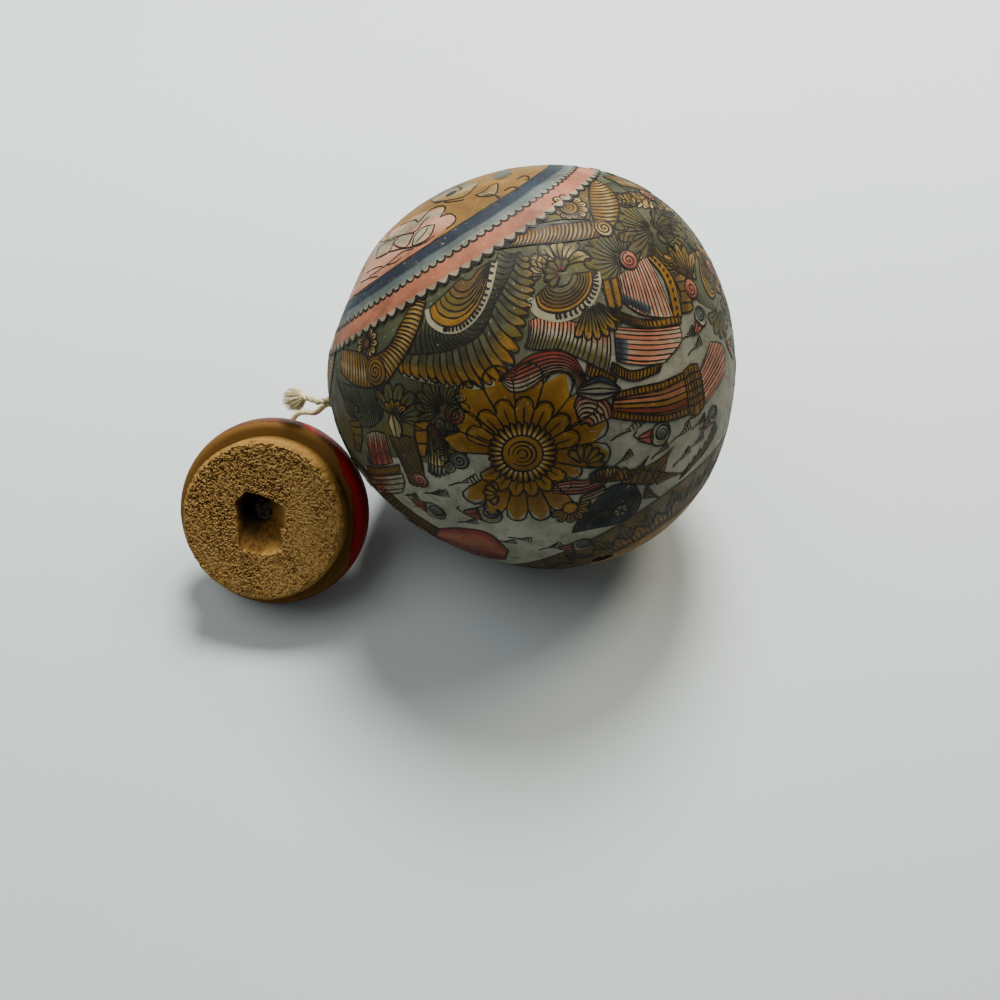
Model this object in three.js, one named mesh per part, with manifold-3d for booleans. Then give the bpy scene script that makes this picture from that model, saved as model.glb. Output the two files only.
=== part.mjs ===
// Lidded coconut shell jar lying on its side, with its stopper lid taken off on a cord.
// Millimetres, +Z up. The origin is on the table, under the middle of the shell.
import * as THREE from 'three';
import { mergeVertices } from 'three/addons/utils/BufferGeometryUtils.js';
import { ConvexGeometry } from 'three/addons/geometries/ConvexGeometry.js';
import Module from 'manifold-3d';

const wasm = await Module();
wasm.setup();

// Coconut shell
const SHELL_RADIUS = 57.5;
const SHELL_EGG = 2.65;
const SHELL_WALL = 4.0;
const SHELL_CENTRE_HEIGHT = 55.2;
const NUT_AXIS = new THREE.Vector3(0.574, -0.579, -0.579).normalize();
const SHELL_STEPS_ROUND = 64;
const SHELL_STEPS_ALONG = 44;

// Mouth with its flat rim
const MOUTH_AZIMUTH = 158.0;
const MOUTH_ELEVATION = -9.0;
const RIM_DISTANCE = 52.5;

// Holes in the shell's wall
const EYE_DIRECTION = new THREE.Vector3(0.3186, -0.8546, -0.4101).normalize();
const EYE_DIAMETER = 6.4;
const CORD_HOLE_AZIMUTH = 190.0;
const CORD_HOLE_ELEVATION = -4.0;

// Stopper lid, measured from the seat under its head
const PLUG_RADIUS = 23.0;
const PLUG_LENGTH = 10.0;
const PLUG_CHAMFER = 1.0;
const PLUG_CLEARANCE = 0.8;
const HEAD_RADIUS = 28.4;
const HEAD_SEAT_ROUND = 2.4;
const HEAD_WIDEST_DEPTH = 5.0;
const HEAD_DOME_DEPTH = 16.0;
const LID_FROM_CORD_EXIT = new THREE.Vector3(-18.352, -21.035, -25.507);
const LID_AZIMUTH = 266.5;
const LID_ELEVATION = 41.5;
const LID_STEPS_ROUND = 72;

// Hand-cut recess in the plug's end, outline seen from the end, right and up
const RECESS_DEPTH = 11.0;
const RECESS_OUTLINE = [
  [-4.6, 8.9],
  [-1.1, 8.2],
  [4.3, 6.4],
  [8.5, 3.8],
  [8.8, -2.4],
  [3.7, -4.1],
  [-7.4, 0.4],
  [-8.2, 5.0],
];
const RECESS_TAPER = 0.8;
const SCOOP_TIP = [-3.4, -10.1];
const SCOOP_DEPTH = 7.0;

// Cotton cord
const CORD_DIAMETER = 1.6;
const CORD_SIDES = 8;
const CORD_STEP = 2.5 * CORD_DIAMETER;
const CORD_HOLE_CLEARANCE = 0.5;
const LID_CORD_RISE = 1.5;
const KNOT_RADIUS = 1.8;
const TUFT_LENGTH = 6.0;
const TUFT_SPREAD = 2.9;
const TUFT_LOBES = 7;
const GAP = 0.3;

// Colours and finishes
const PAINTED_SHELL = { color: 0x8f8d78, roughness: 0.5, metalness: 0 };
const BARE_WOOD = { color: 0xa98455, roughness: 0.8, metalness: 0 };
const COTTON = { color: 0xd9cfb4, roughness: 0.95, metalness: 0 };

function direction(azimuth, elevation) {
  const turn = THREE.MathUtils.degToRad(azimuth);
  const rise = THREE.MathUtils.degToRad(elevation);
  return new THREE.Vector3(
    Math.cos(turn) * Math.cos(rise),
    Math.sin(turn) * Math.cos(rise),
    Math.sin(rise),
  );
}

function solidOf(geometry) {
  const bare = geometry.clone();
  bare.deleteAttribute('normal');
  bare.deleteAttribute('uv');
  const welded = mergeVertices(bare, 1e-4);
  return new wasm.Manifold(new wasm.Mesh({
    numProp: 3,
    vertProperties: new Float32Array(welded.attributes.position.array),
    triVerts: new Uint32Array(welded.index.array),
  }));
}

function geometryOf(solid) {
  const mesh = solid.getMesh();
  const geometry = new THREE.BufferGeometry();
  geometry.setAttribute('position', new THREE.BufferAttribute(new Float32Array(mesh.vertProperties), 3));
  geometry.setIndex(new THREE.BufferAttribute(new Uint32Array(mesh.triVerts), 1));
  geometry.computeVertexNormals();
  return geometry;
}

// A cylinder of the given radius along a direction, between two distances from a point.
function rod(origin, along, from, to, radius, sides) {
  const geometry = new THREE.CylinderGeometry(radius, radius, to - from, sides);
  geometry.applyQuaternion(new THREE.Quaternion().setFromUnitVectors(new THREE.Vector3(0, 1, 0), along));
  const middle = origin.clone().addScaledVector(along, (from + to) / 2);
  geometry.translate(middle.x, middle.y, middle.z);
  return geometry;
}

const shellCentre = new THREE.Vector3(0, 0, SHELL_CENTRE_HEIGHT);
const mouthDirection = direction(MOUTH_AZIMUTH, MOUTH_ELEVATION);
const mouthRadius = PLUG_RADIUS + PLUG_CLEARANCE;
const cordHoleDirection = direction(CORD_HOLE_AZIMUTH, CORD_HOLE_ELEVATION);
const cordHoleRadius = CORD_DIAMETER + CORD_HOLE_CLEARANCE;

// The nut is an egg: fuller at the eye end of its axis, flatter at the stalk end.
function shellRadius(along) {
  return SHELL_RADIUS + SHELL_EGG * (5 * along ** 3 - 3 * along) / 2;
}

// Where the cord leaves the shell. The cord and the lid are placed from here.
const cordHoleReach = shellRadius(cordHoleDirection.dot(NUT_AXIS));
const cordExit = shellCentre.clone().addScaledVector(cordHoleDirection, cordHoleReach);

// The egg, or its hollow at a given depth under the surface, turned about the nut's axis.
function egg(depth, stepsAlong, stepsRound) {
  const profile = [];
  for (let step = 0; step <= stepsAlong; step += 1) {
    const angle = Math.PI * step / stepsAlong;
    const along = -Math.cos(angle);
    const radius = shellRadius(along) - depth;
    const across = (step === 0 || step === stepsAlong) ? 0 : radius * Math.sin(angle);
    profile.push(new THREE.Vector2(across, radius * along));
  }
  const geometry = new THREE.LatheGeometry(profile, stepsRound);
  geometry.applyQuaternion(new THREE.Quaternion().setFromUnitVectors(new THREE.Vector3(0, 1, 0), NUT_AXIS));
  geometry.translate(shellCentre.x, shellCentre.y, shellCentre.z);
  return geometry;
}

function makeShell() {
  const reach = 2 * SHELL_RADIUS;
  const outside = solidOf(egg(0, SHELL_STEPS_ALONG, SHELL_STEPS_ROUND));
  const hollow = solidOf(egg(SHELL_WALL, SHELL_STEPS_ALONG / 2, SHELL_STEPS_ROUND / 2));
  const mouth = solidOf(rod(shellCentre, mouthDirection, 0, reach, mouthRadius, SHELL_STEPS_ROUND));
  const aboveRim = solidOf(rod(shellCentre, mouthDirection, RIM_DISTANCE, reach, SHELL_RADIUS, 48));
  const eye = solidOf(rod(shellCentre, EYE_DIRECTION, 0, reach, EYE_DIAMETER / 2, 20));
  const cordHole = solidOf(rod(shellCentre, cordHoleDirection, 0, reach, cordHoleRadius, 16));
  const table = new THREE.BoxGeometry(reach, reach, reach);
  table.translate(0, 0, -reach / 2);
  return geometryOf(outside
    .subtract(hollow)
    .subtract(mouth)
    .subtract(aboveRim)
    .subtract(eye)
    .subtract(cordHole)
    .subtract(solidOf(table)));
}

// The lid's own frame: +Z out of the plug's end, +X to the right, +Y up the end face.
const plugDirection = direction(LID_AZIMUTH, LID_ELEVATION);
const lidRight = new THREE.Vector3(0, 0, 1).cross(plugDirection).normalize();
const lidUp = plugDirection.clone().cross(lidRight);
const lidSeat = cordExit.clone().add(LID_FROM_CORD_EXIT);
const lidFrame = new THREE.Matrix4().makeBasis(lidRight, lidUp, plugDirection).setPosition(lidSeat);
const recessFloor = PLUG_LENGTH - RECESS_DEPTH;

function lidProfile() {
  const outline = new THREE.Path();
  const seatEdge = HEAD_RADIUS - HEAD_SEAT_ROUND;
  outline.moveTo(0, -HEAD_DOME_DEPTH);
  outline.bezierCurveTo(
    HEAD_RADIUS * 0.55, -HEAD_DOME_DEPTH,
    HEAD_RADIUS, -HEAD_DOME_DEPTH * 0.72,
    HEAD_RADIUS, -HEAD_WIDEST_DEPTH,
  );
  outline.quadraticCurveTo(HEAD_RADIUS, 0, seatEdge, 0);
  outline.lineTo(PLUG_RADIUS, 0);
  outline.lineTo(PLUG_RADIUS, PLUG_LENGTH - PLUG_CHAMFER);
  outline.lineTo(PLUG_RADIUS - PLUG_CHAMFER, PLUG_LENGTH);
  outline.lineTo(0, PLUG_LENGTH);
  return outline.getPoints(12);
}

function makeRecess() {
  const above = PLUG_LENGTH + 2;
  const corners = [];
  for (const [right, up] of RECESS_OUTLINE) {
    corners.push(new THREE.Vector3(right, up, above));
    corners.push(new THREE.Vector3(right * RECESS_TAPER, up * RECESS_TAPER, recessFloor));
  }
  return new ConvexGeometry(corners);
}

// The long scooped cut that leads down into the recess from the plug's lower side.
function makeScoop() {
  const [tipRight, tipUp] = SCOOP_TIP;
  const left = RECESS_OUTLINE[6];
  const right = RECESS_OUTLINE[5];
  const above = 2;
  const slope = SCOOP_DEPTH / Math.hypot(tipRight, tipUp);
  return new ConvexGeometry([
    new THREE.Vector3(tipRight, tipUp, PLUG_LENGTH),
    new THREE.Vector3(tipRight + above * slope, tipUp - above * slope, PLUG_LENGTH + above),
    new THREE.Vector3(left[0], left[1], PLUG_LENGTH + above),
    new THREE.Vector3(right[0], right[1], PLUG_LENGTH + above),
    new THREE.Vector3(left[0] * RECESS_TAPER, left[1] * RECESS_TAPER, PLUG_LENGTH - SCOOP_DEPTH),
    new THREE.Vector3(right[0] * RECESS_TAPER, right[1] * RECESS_TAPER, PLUG_LENGTH - SCOOP_DEPTH),
  ]);
}

const lidCordAxis = new THREE.Vector3(0, LID_CORD_RISE, 0);
const lidAxis = new THREE.Vector3(0, 0, 1);

function makeLid() {
  const turned = new THREE.LatheGeometry(lidProfile(), LID_STEPS_ROUND);
  turned.rotateX(Math.PI / 2);
  const boreRadius = CORD_DIAMETER / 2 + CORD_HOLE_CLEARANCE;
  const bore = rod(lidCordAxis, lidAxis, -2 * HEAD_DOME_DEPTH, PLUG_LENGTH, boreRadius, 12);
  return geometryOf(solidOf(turned)
    .subtract(solidOf(makeRecess()))
    .subtract(solidOf(makeScoop()))
    .subtract(solidOf(bore)));
}

// A cord along hand-chosen points.
function makeCord(points) {
  const curve = new THREE.CatmullRomCurve3(points);
  const section = new THREE.Shape();
  for (let side = 0; side < CORD_SIDES; side += 1) {
    const angle = 2 * Math.PI * side / CORD_SIDES;
    const across = CORD_DIAMETER / 2 * Math.cos(angle);
    const along = CORD_DIAMETER / 2 * Math.sin(angle);
    if (side === 0) {
      section.moveTo(across, along);
    } else {
      section.lineTo(across, along);
    }
  }
  section.closePath();
  const steps = Math.ceil(curve.getLength() / CORD_STEP);
  return new THREE.ExtrudeGeometry(section, { steps, bevelEnabled: false, extrudePath: curve });
}

// An overhand knot pulled snug, with its flat side across the given direction.
function makeKnot(centre, facing) {
  const knot = new THREE.TorusKnotGeometry(KNOT_RADIUS, CORD_DIAMETER / 2 - GAP / 6, 48, CORD_SIDES);
  knot.applyQuaternion(new THREE.Quaternion().setFromUnitVectors(new THREE.Vector3(0, 0, 1), facing));
  knot.translate(centre.x, centre.y, centre.z);
  return knot;
}

const knotHalfThickness = KNOT_RADIUS / 2 + CORD_DIAMETER / 2;

// The knot that stops the cord inside the shell, clear of the wall round the cord hole.
function makeShellKnot() {
  const depth = SHELL_WALL + knotHalfThickness + 2 * GAP;
  const centre = cordExit.clone().addScaledVector(cordHoleDirection, -depth);
  return makeKnot(centre, cordHoleDirection);
}

// The knot on the recess floor with the cord's run through the head, in the lid's frame.
function makeLidKnot() {
  const centre = lidCordAxis.clone().addScaledVector(lidAxis, recessFloor + knotHalfThickness + GAP);
  const knot = solidOf(makeKnot(centre, lidAxis));
  const run = rod(lidCordAxis, lidAxis, -HEAD_DOME_DEPTH, centre.z, CORD_DIAMETER / 2, CORD_SIDES);
  return geometryOf(knot.add(solidOf(run)));
}

// The frayed end: a lobed brush that opens away from the cord's last point.
function makeTuft(start, towards) {
  const rings = [
    [0, CORD_DIAMETER / 2],
    [0.35, TUFT_SPREAD * 0.62],
    [0.75, TUFT_SPREAD],
    [1, TUFT_SPREAD * 0.7],
  ];
  const sides = TUFT_LOBES * 4;
  const corners = [];
  for (const [share, radius] of rings) {
    for (let side = 0; side < sides; side += 1) {
      const angle = 2 * Math.PI * side / sides;
      const swell = radius * (1 + 0.16 * share * Math.cos(TUFT_LOBES * angle));
      corners.push(swell * Math.cos(angle), swell * Math.sin(angle), share * TUFT_LENGTH);
    }
  }
  const faces = [];
  for (let ring = 0; ring + 1 < rings.length; ring += 1) {
    for (let side = 0; side < sides; side += 1) {
      const next = (side + 1) % sides;
      const low = ring * sides;
      const high = low + sides;
      faces.push(low + side, low + next, high + next);
      faces.push(low + side, high + next, high + side);
    }
  }
  const lastRing = (rings.length - 1) * sides;
  const firstMiddle = corners.length / 3;
  corners.push(0, 0, 0);
  corners.push(0, 0, TUFT_LENGTH);
  for (let side = 0; side < sides; side += 1) {
    const next = (side + 1) % sides;
    faces.push(firstMiddle, next, side);
    faces.push(firstMiddle + 1, lastRing + side, lastRing + next);
  }
  const tuft = new THREE.BufferGeometry();
  tuft.setAttribute('position', new THREE.Float32BufferAttribute(corners, 3));
  tuft.setIndex(faces);
  tuft.computeVertexNormals();
  tuft.applyQuaternion(new THREE.Quaternion().setFromUnitVectors(new THREE.Vector3(0, 0, 1), towards));
  tuft.translate(start.x, start.y, start.z);
  return tuft;
}

// Points of a cord, listed by hand from where the cord leaves the shell.
function route(list) {
  return list.map(([x, y, z]) => new THREE.Vector3(x, y, z).add(cordExit));
}

// The tether leaves the cord hole, drops away from the shell and goes behind the lid to its dome.
const TETHER_UPPER = route([
  [3.41, 0.60, -0.71],
  [0.07, 0.01, -0.95],
  [-1.45, -0.14, -1.21],
  [-2.65, 0.86, -3.11],
  [-3.85, 2.16, -5.51],
  [-5.55, 3.66, -8.41],
  [-7.05, 5.16, -10.21],
  [-8.55, 6.36, -11.31],
  [-10.35, 7.56, -12.61],
  [-11.85, 8.76, -14.21],
  [-13.75, 10.36, -17.51],
  [-15.85, 12.16, -22.21],
  [-16.55, 12.76, -24.51],
]);
const TETHER_LOWER = route([
  [-16.65, 12.86, -24.86],
  [-17.55, 13.56, -27.71],
  [-18.65, 14.46, -32.11],
  [-19.75, 14.36, -39.51],
  [-18.75, 10.56, -44.71],
  [-17.55, 4.56, -44.81],
  [-17.15, -1.34, -40.91],
  [-17.35, -5.04, -37.61],
  [-17.54, -7.84, -35.21],
]);
const CORD_TAIL = route([
  [3.28, 0.57, 1.18],
  [-0.06, -0.02, 0.94],
  [-1.65, -0.54, 0.89],
  [-3.25, -0.84, 0.79],
  [-4.25, -0.64, 1.09],
  [-5.25, -0.24, 1.29],
  [-6.65, 0.36, 1.19],
  [-8.05, 1.16, 0.59],
]);
const tailEnd = CORD_TAIL[CORD_TAIL.length - 1];
const tuftDirection = new THREE.Vector3(-0.82, 0.23, -0.52).normalize();

function piece(name, geometry, finish) {
  const mesh = new THREE.Mesh(geometry, new THREE.MeshStandardMaterial(finish));
  mesh.name = name;
  return mesh;
}

const jar = new THREE.Group();
jar.add(piece('coconut_shell', makeShell(), PAINTED_SHELL));
jar.add(piece('shell_knot', makeShellKnot(), COTTON));
jar.add(piece('tether_upper', makeCord(TETHER_UPPER), COTTON));
jar.add(piece('tether_lower', makeCord(TETHER_LOWER), COTTON));
jar.add(piece('cord_tail', makeCord(CORD_TAIL), COTTON));
const tuftStart = tailEnd.clone().addScaledVector(tuftDirection, GAP);
jar.add(piece('cord_tuft', makeTuft(tuftStart, tuftDirection), COTTON));

const lid = new THREE.Group();
lid.applyMatrix4(lidFrame);
lid.add(piece('lid_stopper', makeLid(), BARE_WOOD));
lid.add(piece('lid_knot', makeLidKnot(), COTTON));
jar.add(lid);

export default jar;
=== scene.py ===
import math
import random

import bmesh
import bpy
from bpy.props import FloatProperty, FloatVectorProperty, PointerProperty
from mathutils import Matrix, Vector, noise


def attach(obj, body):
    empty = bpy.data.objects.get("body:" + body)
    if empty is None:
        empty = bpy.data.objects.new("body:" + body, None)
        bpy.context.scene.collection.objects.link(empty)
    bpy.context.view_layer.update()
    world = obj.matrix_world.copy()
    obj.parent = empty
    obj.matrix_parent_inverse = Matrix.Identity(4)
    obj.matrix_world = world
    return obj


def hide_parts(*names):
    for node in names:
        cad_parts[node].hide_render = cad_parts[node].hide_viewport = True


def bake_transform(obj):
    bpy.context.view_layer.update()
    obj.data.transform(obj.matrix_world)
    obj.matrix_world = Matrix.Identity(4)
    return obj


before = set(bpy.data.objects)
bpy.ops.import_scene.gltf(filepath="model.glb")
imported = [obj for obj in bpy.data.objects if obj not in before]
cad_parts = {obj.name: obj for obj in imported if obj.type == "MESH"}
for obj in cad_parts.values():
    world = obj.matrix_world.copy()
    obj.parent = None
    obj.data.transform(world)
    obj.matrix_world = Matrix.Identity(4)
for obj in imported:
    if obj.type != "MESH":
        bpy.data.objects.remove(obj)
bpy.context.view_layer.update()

bl_info = {
    "name": "Lidded Coconut Shell Jar",
    "version": (1, 0, 0),
    "blender": (4, 5, 0),
    "location": "View3D > Sidebar > Jar",
    "description": "A painted coconut shell with a turned wooden stopper on a cotton cord",
    "category": "Add Mesh",
}

MM = 0.001

# Places that the solids fix, in metres or as directions
SHELL_CENTRE = Vector((0.0, 0.0, 0.0552))
NUT_AXIS = Vector((0.574, -0.579, -0.579)).normalized()
CORD_EXIT = Vector((-57.648, -10.165, 51.107)) * MM
LID_SEAT = Vector((-76.0, -31.2, 25.6)) * MM
EYE_WAY = Vector((0.3186, -0.8546, -0.4101)).normalized()
TUFT_WAY = Vector((-0.82, 0.23, -0.52)).normalized()

# The painting stands on its own axis, a little off the nut's
PAINT_AXIS = Vector((0.54, -0.477, -0.694)).normalized()
PAINT_FRONT = Vector((0.0, -1.0, 1.0))
PAINT_FRONT = (PAINT_FRONT - PAINT_AXIS * PAINT_FRONT.dot(PAINT_AXIS)).normalized()
PAINT_EAST = PAINT_AXIS.cross(PAINT_FRONT)
COAT = 0.02 * MM

# The camera, in metres, degrees and millimetres of film
CAMERA_PLACE = Vector((-9.385, -224.903, 280.103)) * MM
CAMERA_TILT = 38.039156
CAMERA_LENS = 39.6
CAMERA_SENSOR = 36.0

# Light and floor
LIGHT_AIM = Vector((0, 0, 0.04))
ROOM_TONE = (0.94, 0.98, 0.99, 1.0)
FLOOR_HALF_WIDTH = 1.6
FLOOR_PLACE = (0.0, 0.4, 0.0)

# Cord routes from the place where the cord leaves the shell, in millimetres
TETHER_UPPER = [
    (3.41, 0.60, -0.71), (0.07, 0.01, -0.95), (-1.45, -0.14, -1.21), (-2.65, 0.86, -3.11),
    (-3.85, 2.16, -5.51), (-5.55, 3.66, -8.41), (-7.05, 5.16, -10.21), (-8.55, 6.36, -11.31),
    (-10.35, 7.56, -12.61), (-11.85, 8.76, -14.21), (-13.75, 10.36, -17.51), (-15.85, 12.16, -22.21),
    (-16.55, 12.76, -24.51),
]
TETHER_LOWER = [
    (-16.65, 12.86, -24.86), (-17.55, 13.56, -27.71), (-18.65, 14.46, -32.11), (-19.75, 14.36, -39.51),
    (-18.75, 10.56, -44.71), (-17.55, 4.56, -44.81), (-17.15, -1.34, -40.91), (-17.35, -5.04, -37.61),
    (-17.54, -7.84, -35.21),
]
CORD_TAIL = [
    (3.28, 0.57, 1.18), (-0.06, -0.02, 0.94), (-1.65, -0.54, 0.89), (-3.25, -0.84, 0.79),
    (-4.25, -0.64, 1.09), (-5.25, -0.24, 1.29), (-6.65, 0.36, 1.19), (-8.05, 1.16, 0.59),
]

# Hand-cut recess in the plug's end, seen from the end, right and up in millimetres
RECESS_OUTLINE = [
    (-4.6, 8.9), (-1.1, 8.2), (4.3, 6.4), (8.5, 3.8), (8.8, -2.4), (3.7, -4.1), (-7.4, 0.4), (-8.2, 5.0),
]
# Corners of its floor, with their height above the floor
RECESS_FLOOR = [(-5.6, 6.4, 1.2), (-5.9, 1.2, 1.2), (-2.9, 5.6, 0.0), (-2.6, -0.4, 0.0)]
# Corners of the scoop that opens it downwards, with their height above the plug's end
SCOOP = [
    (-6.6, -8.4, 0.0), (-0.6, -10.0, 0.0), (6.0, -8.6, 0.0), (-7.0, -10.0, 2.0), (6.4, -10.4, 2.0),
    (-8.0, 2.4, 2.0), (6.8, -1.0, 2.0), (-5.6, 2.6, -7.0), (1.4, -0.6, -7.0),
]
# Cells of torn end grain to a millimetre, and how much each kind of tear counts
TEARS = ((0.8, 0.5), (2.0, 0.85), (3.6, 0.9))
# Keeps the uneven faces of the recess the same in each run
CUTTER_SEED = 11
LID_HOLE_RADIUS = 1.3 * MM
# The lid's hole lies this far above its middle, in millimetres
LID_HOLE_HEIGHT = 1.5

# Knots, and how far inside the shell's wall the first one lies
KNOT_RADIUS = 1.8 * MM
KNOT_INSET = 2.3 * MM
# The second one in the recess: right, up and above the floor, in millimetres
LID_KNOT = (-1.2, 1.8, 2.2)
TUFT_FIBRES = 320

# A face of the shell is painted up to one depth and scraped from the other short of the wall
PAINTED_DEPTH = 0.2 * MM
SCRAPED_DEPTH = 0.25 * MM

# Yellowing of old varnish
VARNISH = (1.0, 0.97, 0.85)
# Bare rings that the painting leaves at the rim, round the holes and at the resting flat
RIM_TRIM = 0.6 * MM
HOLE_TRIM = 0.5 * MM
FLAT_TRIM = 0.03 * MM
# Turn of a motif that stands upright to the front
UPRIGHT = 212
# Washes that many motifs share
GILT = ["bark", "ochre", "mustard", "bark"]
LEAFY = [["pine", "moss", "moss", "olive"], ["pine", "moss", "olive", "moss"]]


def tint(red, green, blue):
    """Linear colour of a paint given in steps of 0 to 255."""
    return tuple(((step / 255 + 0.055) / 1.055) ** 2.4 for step in (red, green, blue))


def colour(name, description, red, green, blue):
    """A colour that the sidebar shows."""
    return FloatVectorProperty(
        name=name, description=description, subtype="COLOR", size=3, min=0.0, max=1.0,
        default=tint(red, green, blue),
    )


def size(name, description, millimetres):
    """A length that the sidebar shows."""
    return FloatProperty(name=name, description=description, unit="LENGTH", min=0.0, default=millimetres * MM)


class ShellSettings(bpy.types.PropertyGroup):
    """Sizes and finishes of the coconut shell."""
    radius: size("Radius", "Mean radius of the nut", 57.5)
    egg: size("Egg", "How much fuller the eye end of the nut is", 2.65)
    uneven: size("Uneven", "Height of the nut's slow dents", 0.25)
    wall: size("Wall", "Thickness of the shell", 4.0)
    mouth_radius: size("Mouth Radius", "Radius of the mouth that takes the plug", 23.8)
    rim_distance: size("Rim Distance", "From the nut's middle to the flat rim", 52.5)
    eye_radius: size("Eye Radius", "Radius of the open eye", 3.2)
    cord_hole_radius: size("Cord Hole Radius", "Radius of the hole for the doubled cord", 2.1)
    raw: colour("Raw Shell", "Scraped inside of the nut", 104, 72, 46)
    edge: colour("Cut Edge", "Sawn rim and drilled holes", 46, 30, 19)


class PaintSettings(bpy.types.PropertyGroup):
    """Paints of the shell."""
    line: size("Line", "Width of the ink line", 0.5)
    ink: colour("Ink", "Outlines", 18, 14, 10)
    chalk: colour("Chalk", "Ground of the painting", 104, 104, 92)
    white: colour("White", "Trims, cloths and cloud scrolls", 140, 136, 118)
    cream: colour("Cream", "Pale tips and bands", 160, 142, 98)
    tan: colour("Tan", "Field round the stalk end", 130, 97, 46)
    navy: colour("Navy", "Dark blue stripe and corners", 32, 42, 58)
    sky: colour("Sky", "Pale blue stripe", 84, 96, 98)
    salmon: colour("Salmon", "Pink stripe and cloth", 158, 98, 76)
    blush: colour("Blush", "Pale pink of blossoms and folds", 172, 128, 110)
    rose: colour("Rose", "Deep pink shells and scrolls", 112, 36, 32)
    moss: colour("Moss", "Grey-green leaves", 73, 77, 58)
    pine: colour("Pine", "Dark green feathers", 40, 46, 34)
    olive: colour("Olive", "Brown-green wings", 86, 76, 30)
    ochre: colour("Ochre", "Yellow tips and bands", 132, 98, 28)
    mustard: colour("Mustard", "Large yellow petals", 108, 73, 3)
    bark: colour("Bark", "Brown hollows", 82, 61, 28)


class LidSettings(bpy.types.PropertyGroup):
    """Sizes and finishes of the stopper lid."""
    plug_radius: size("Plug Radius", "Radius of the plug", 23.0)
    plug_length: size("Plug Length", "From the seat to the plug's end", 10.0)
    plug_chamfer: size("Plug Chamfer", "Broken edge of the plug's end", 1.0)
    head_radius: size("Head Radius", "Radius of the head", 27.7)
    head_widest: size("Head Widest", "From the seat to the head's widest place", 6.2)
    head_round: size("Head Round", "Rounding of the seat's edge", 2.4)
    head_depth: size("Head Depth", "From the seat to the top of the dome", 16.0)
    recess_depth: size("Recess Depth", "Depth of the hand-cut recess", 11.0)
    pores: size("Pores", "Depth of the torn end grain", 0.62)
    wood: colour("Wood", "Bare turned wood", 130, 100, 48)
    grain: colour("Grain", "Dark grain of the wood", 94, 66, 26)
    red: colour("Red Lacquer", "Lacquer of the head", 116, 7, 3)
    orange: colour("Orange Lacquer", "Thin lacquer along the head's edge", 86, 35, 4)


class CordSettings(bpy.types.PropertyGroup):
    """Size and colour of the cotton cord."""
    diameter: size("Diameter", "Thickness of the twisted cord", 1.6)
    lay: size("Lay", "Length of one turn of the twist", 3.4)
    cotton: colour("Cotton", "Undyed cotton", 212, 198, 150)


class StageSettings(bpy.types.PropertyGroup):
    """Floor and light."""
    floor: colour("Floor", "Plain pale floor", 186, 195, 194)
    back: FloatProperty(name="Back Light", description="Power of the wide light behind", unit="POWER", default=43.0)
    side: FloatProperty(name="Side Light", description="Power of the light from behind right", unit="POWER",
                        default=12.0)
    left: FloatProperty(name="Left Light", description="Power of the weak light from the left", unit="POWER",
                        default=6.5)
    sky: FloatProperty(name="Room Light", description="Strength of the light from all round", default=0.26)


GROUPS = (
    ("jar_shell", ShellSettings), ("jar_paint", PaintSettings), ("jar_lid", LidSettings),
    ("jar_cord", CordSettings), ("jar_stage", StageSettings),
)


def direction(azimuth, elevation):
    """Unit vector of two angles in degrees."""
    turn = math.radians(azimuth)
    rise = math.radians(elevation)
    return Vector((math.cos(turn) * math.cos(rise), math.sin(turn) * math.cos(rise), math.sin(rise)))


MOUTH_WAY = direction(158.0, -9.0)
CORD_HOLE_WAY = direction(190.0, -4.0)
PLUG_WAY = direction(266.5, 41.5)


def lid_frame():
    """The lid's own frame: out of the plug's end is Z, right is X, up the end face is Y."""
    right = Vector((0, 0, 1)).cross(PLUG_WAY).normalized()
    up = PLUG_WAY.cross(right)
    return Matrix.Translation(LID_SEAT) @ Matrix((right, up, PLUG_WAY)).transposed().to_4x4()


# Materials


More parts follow.
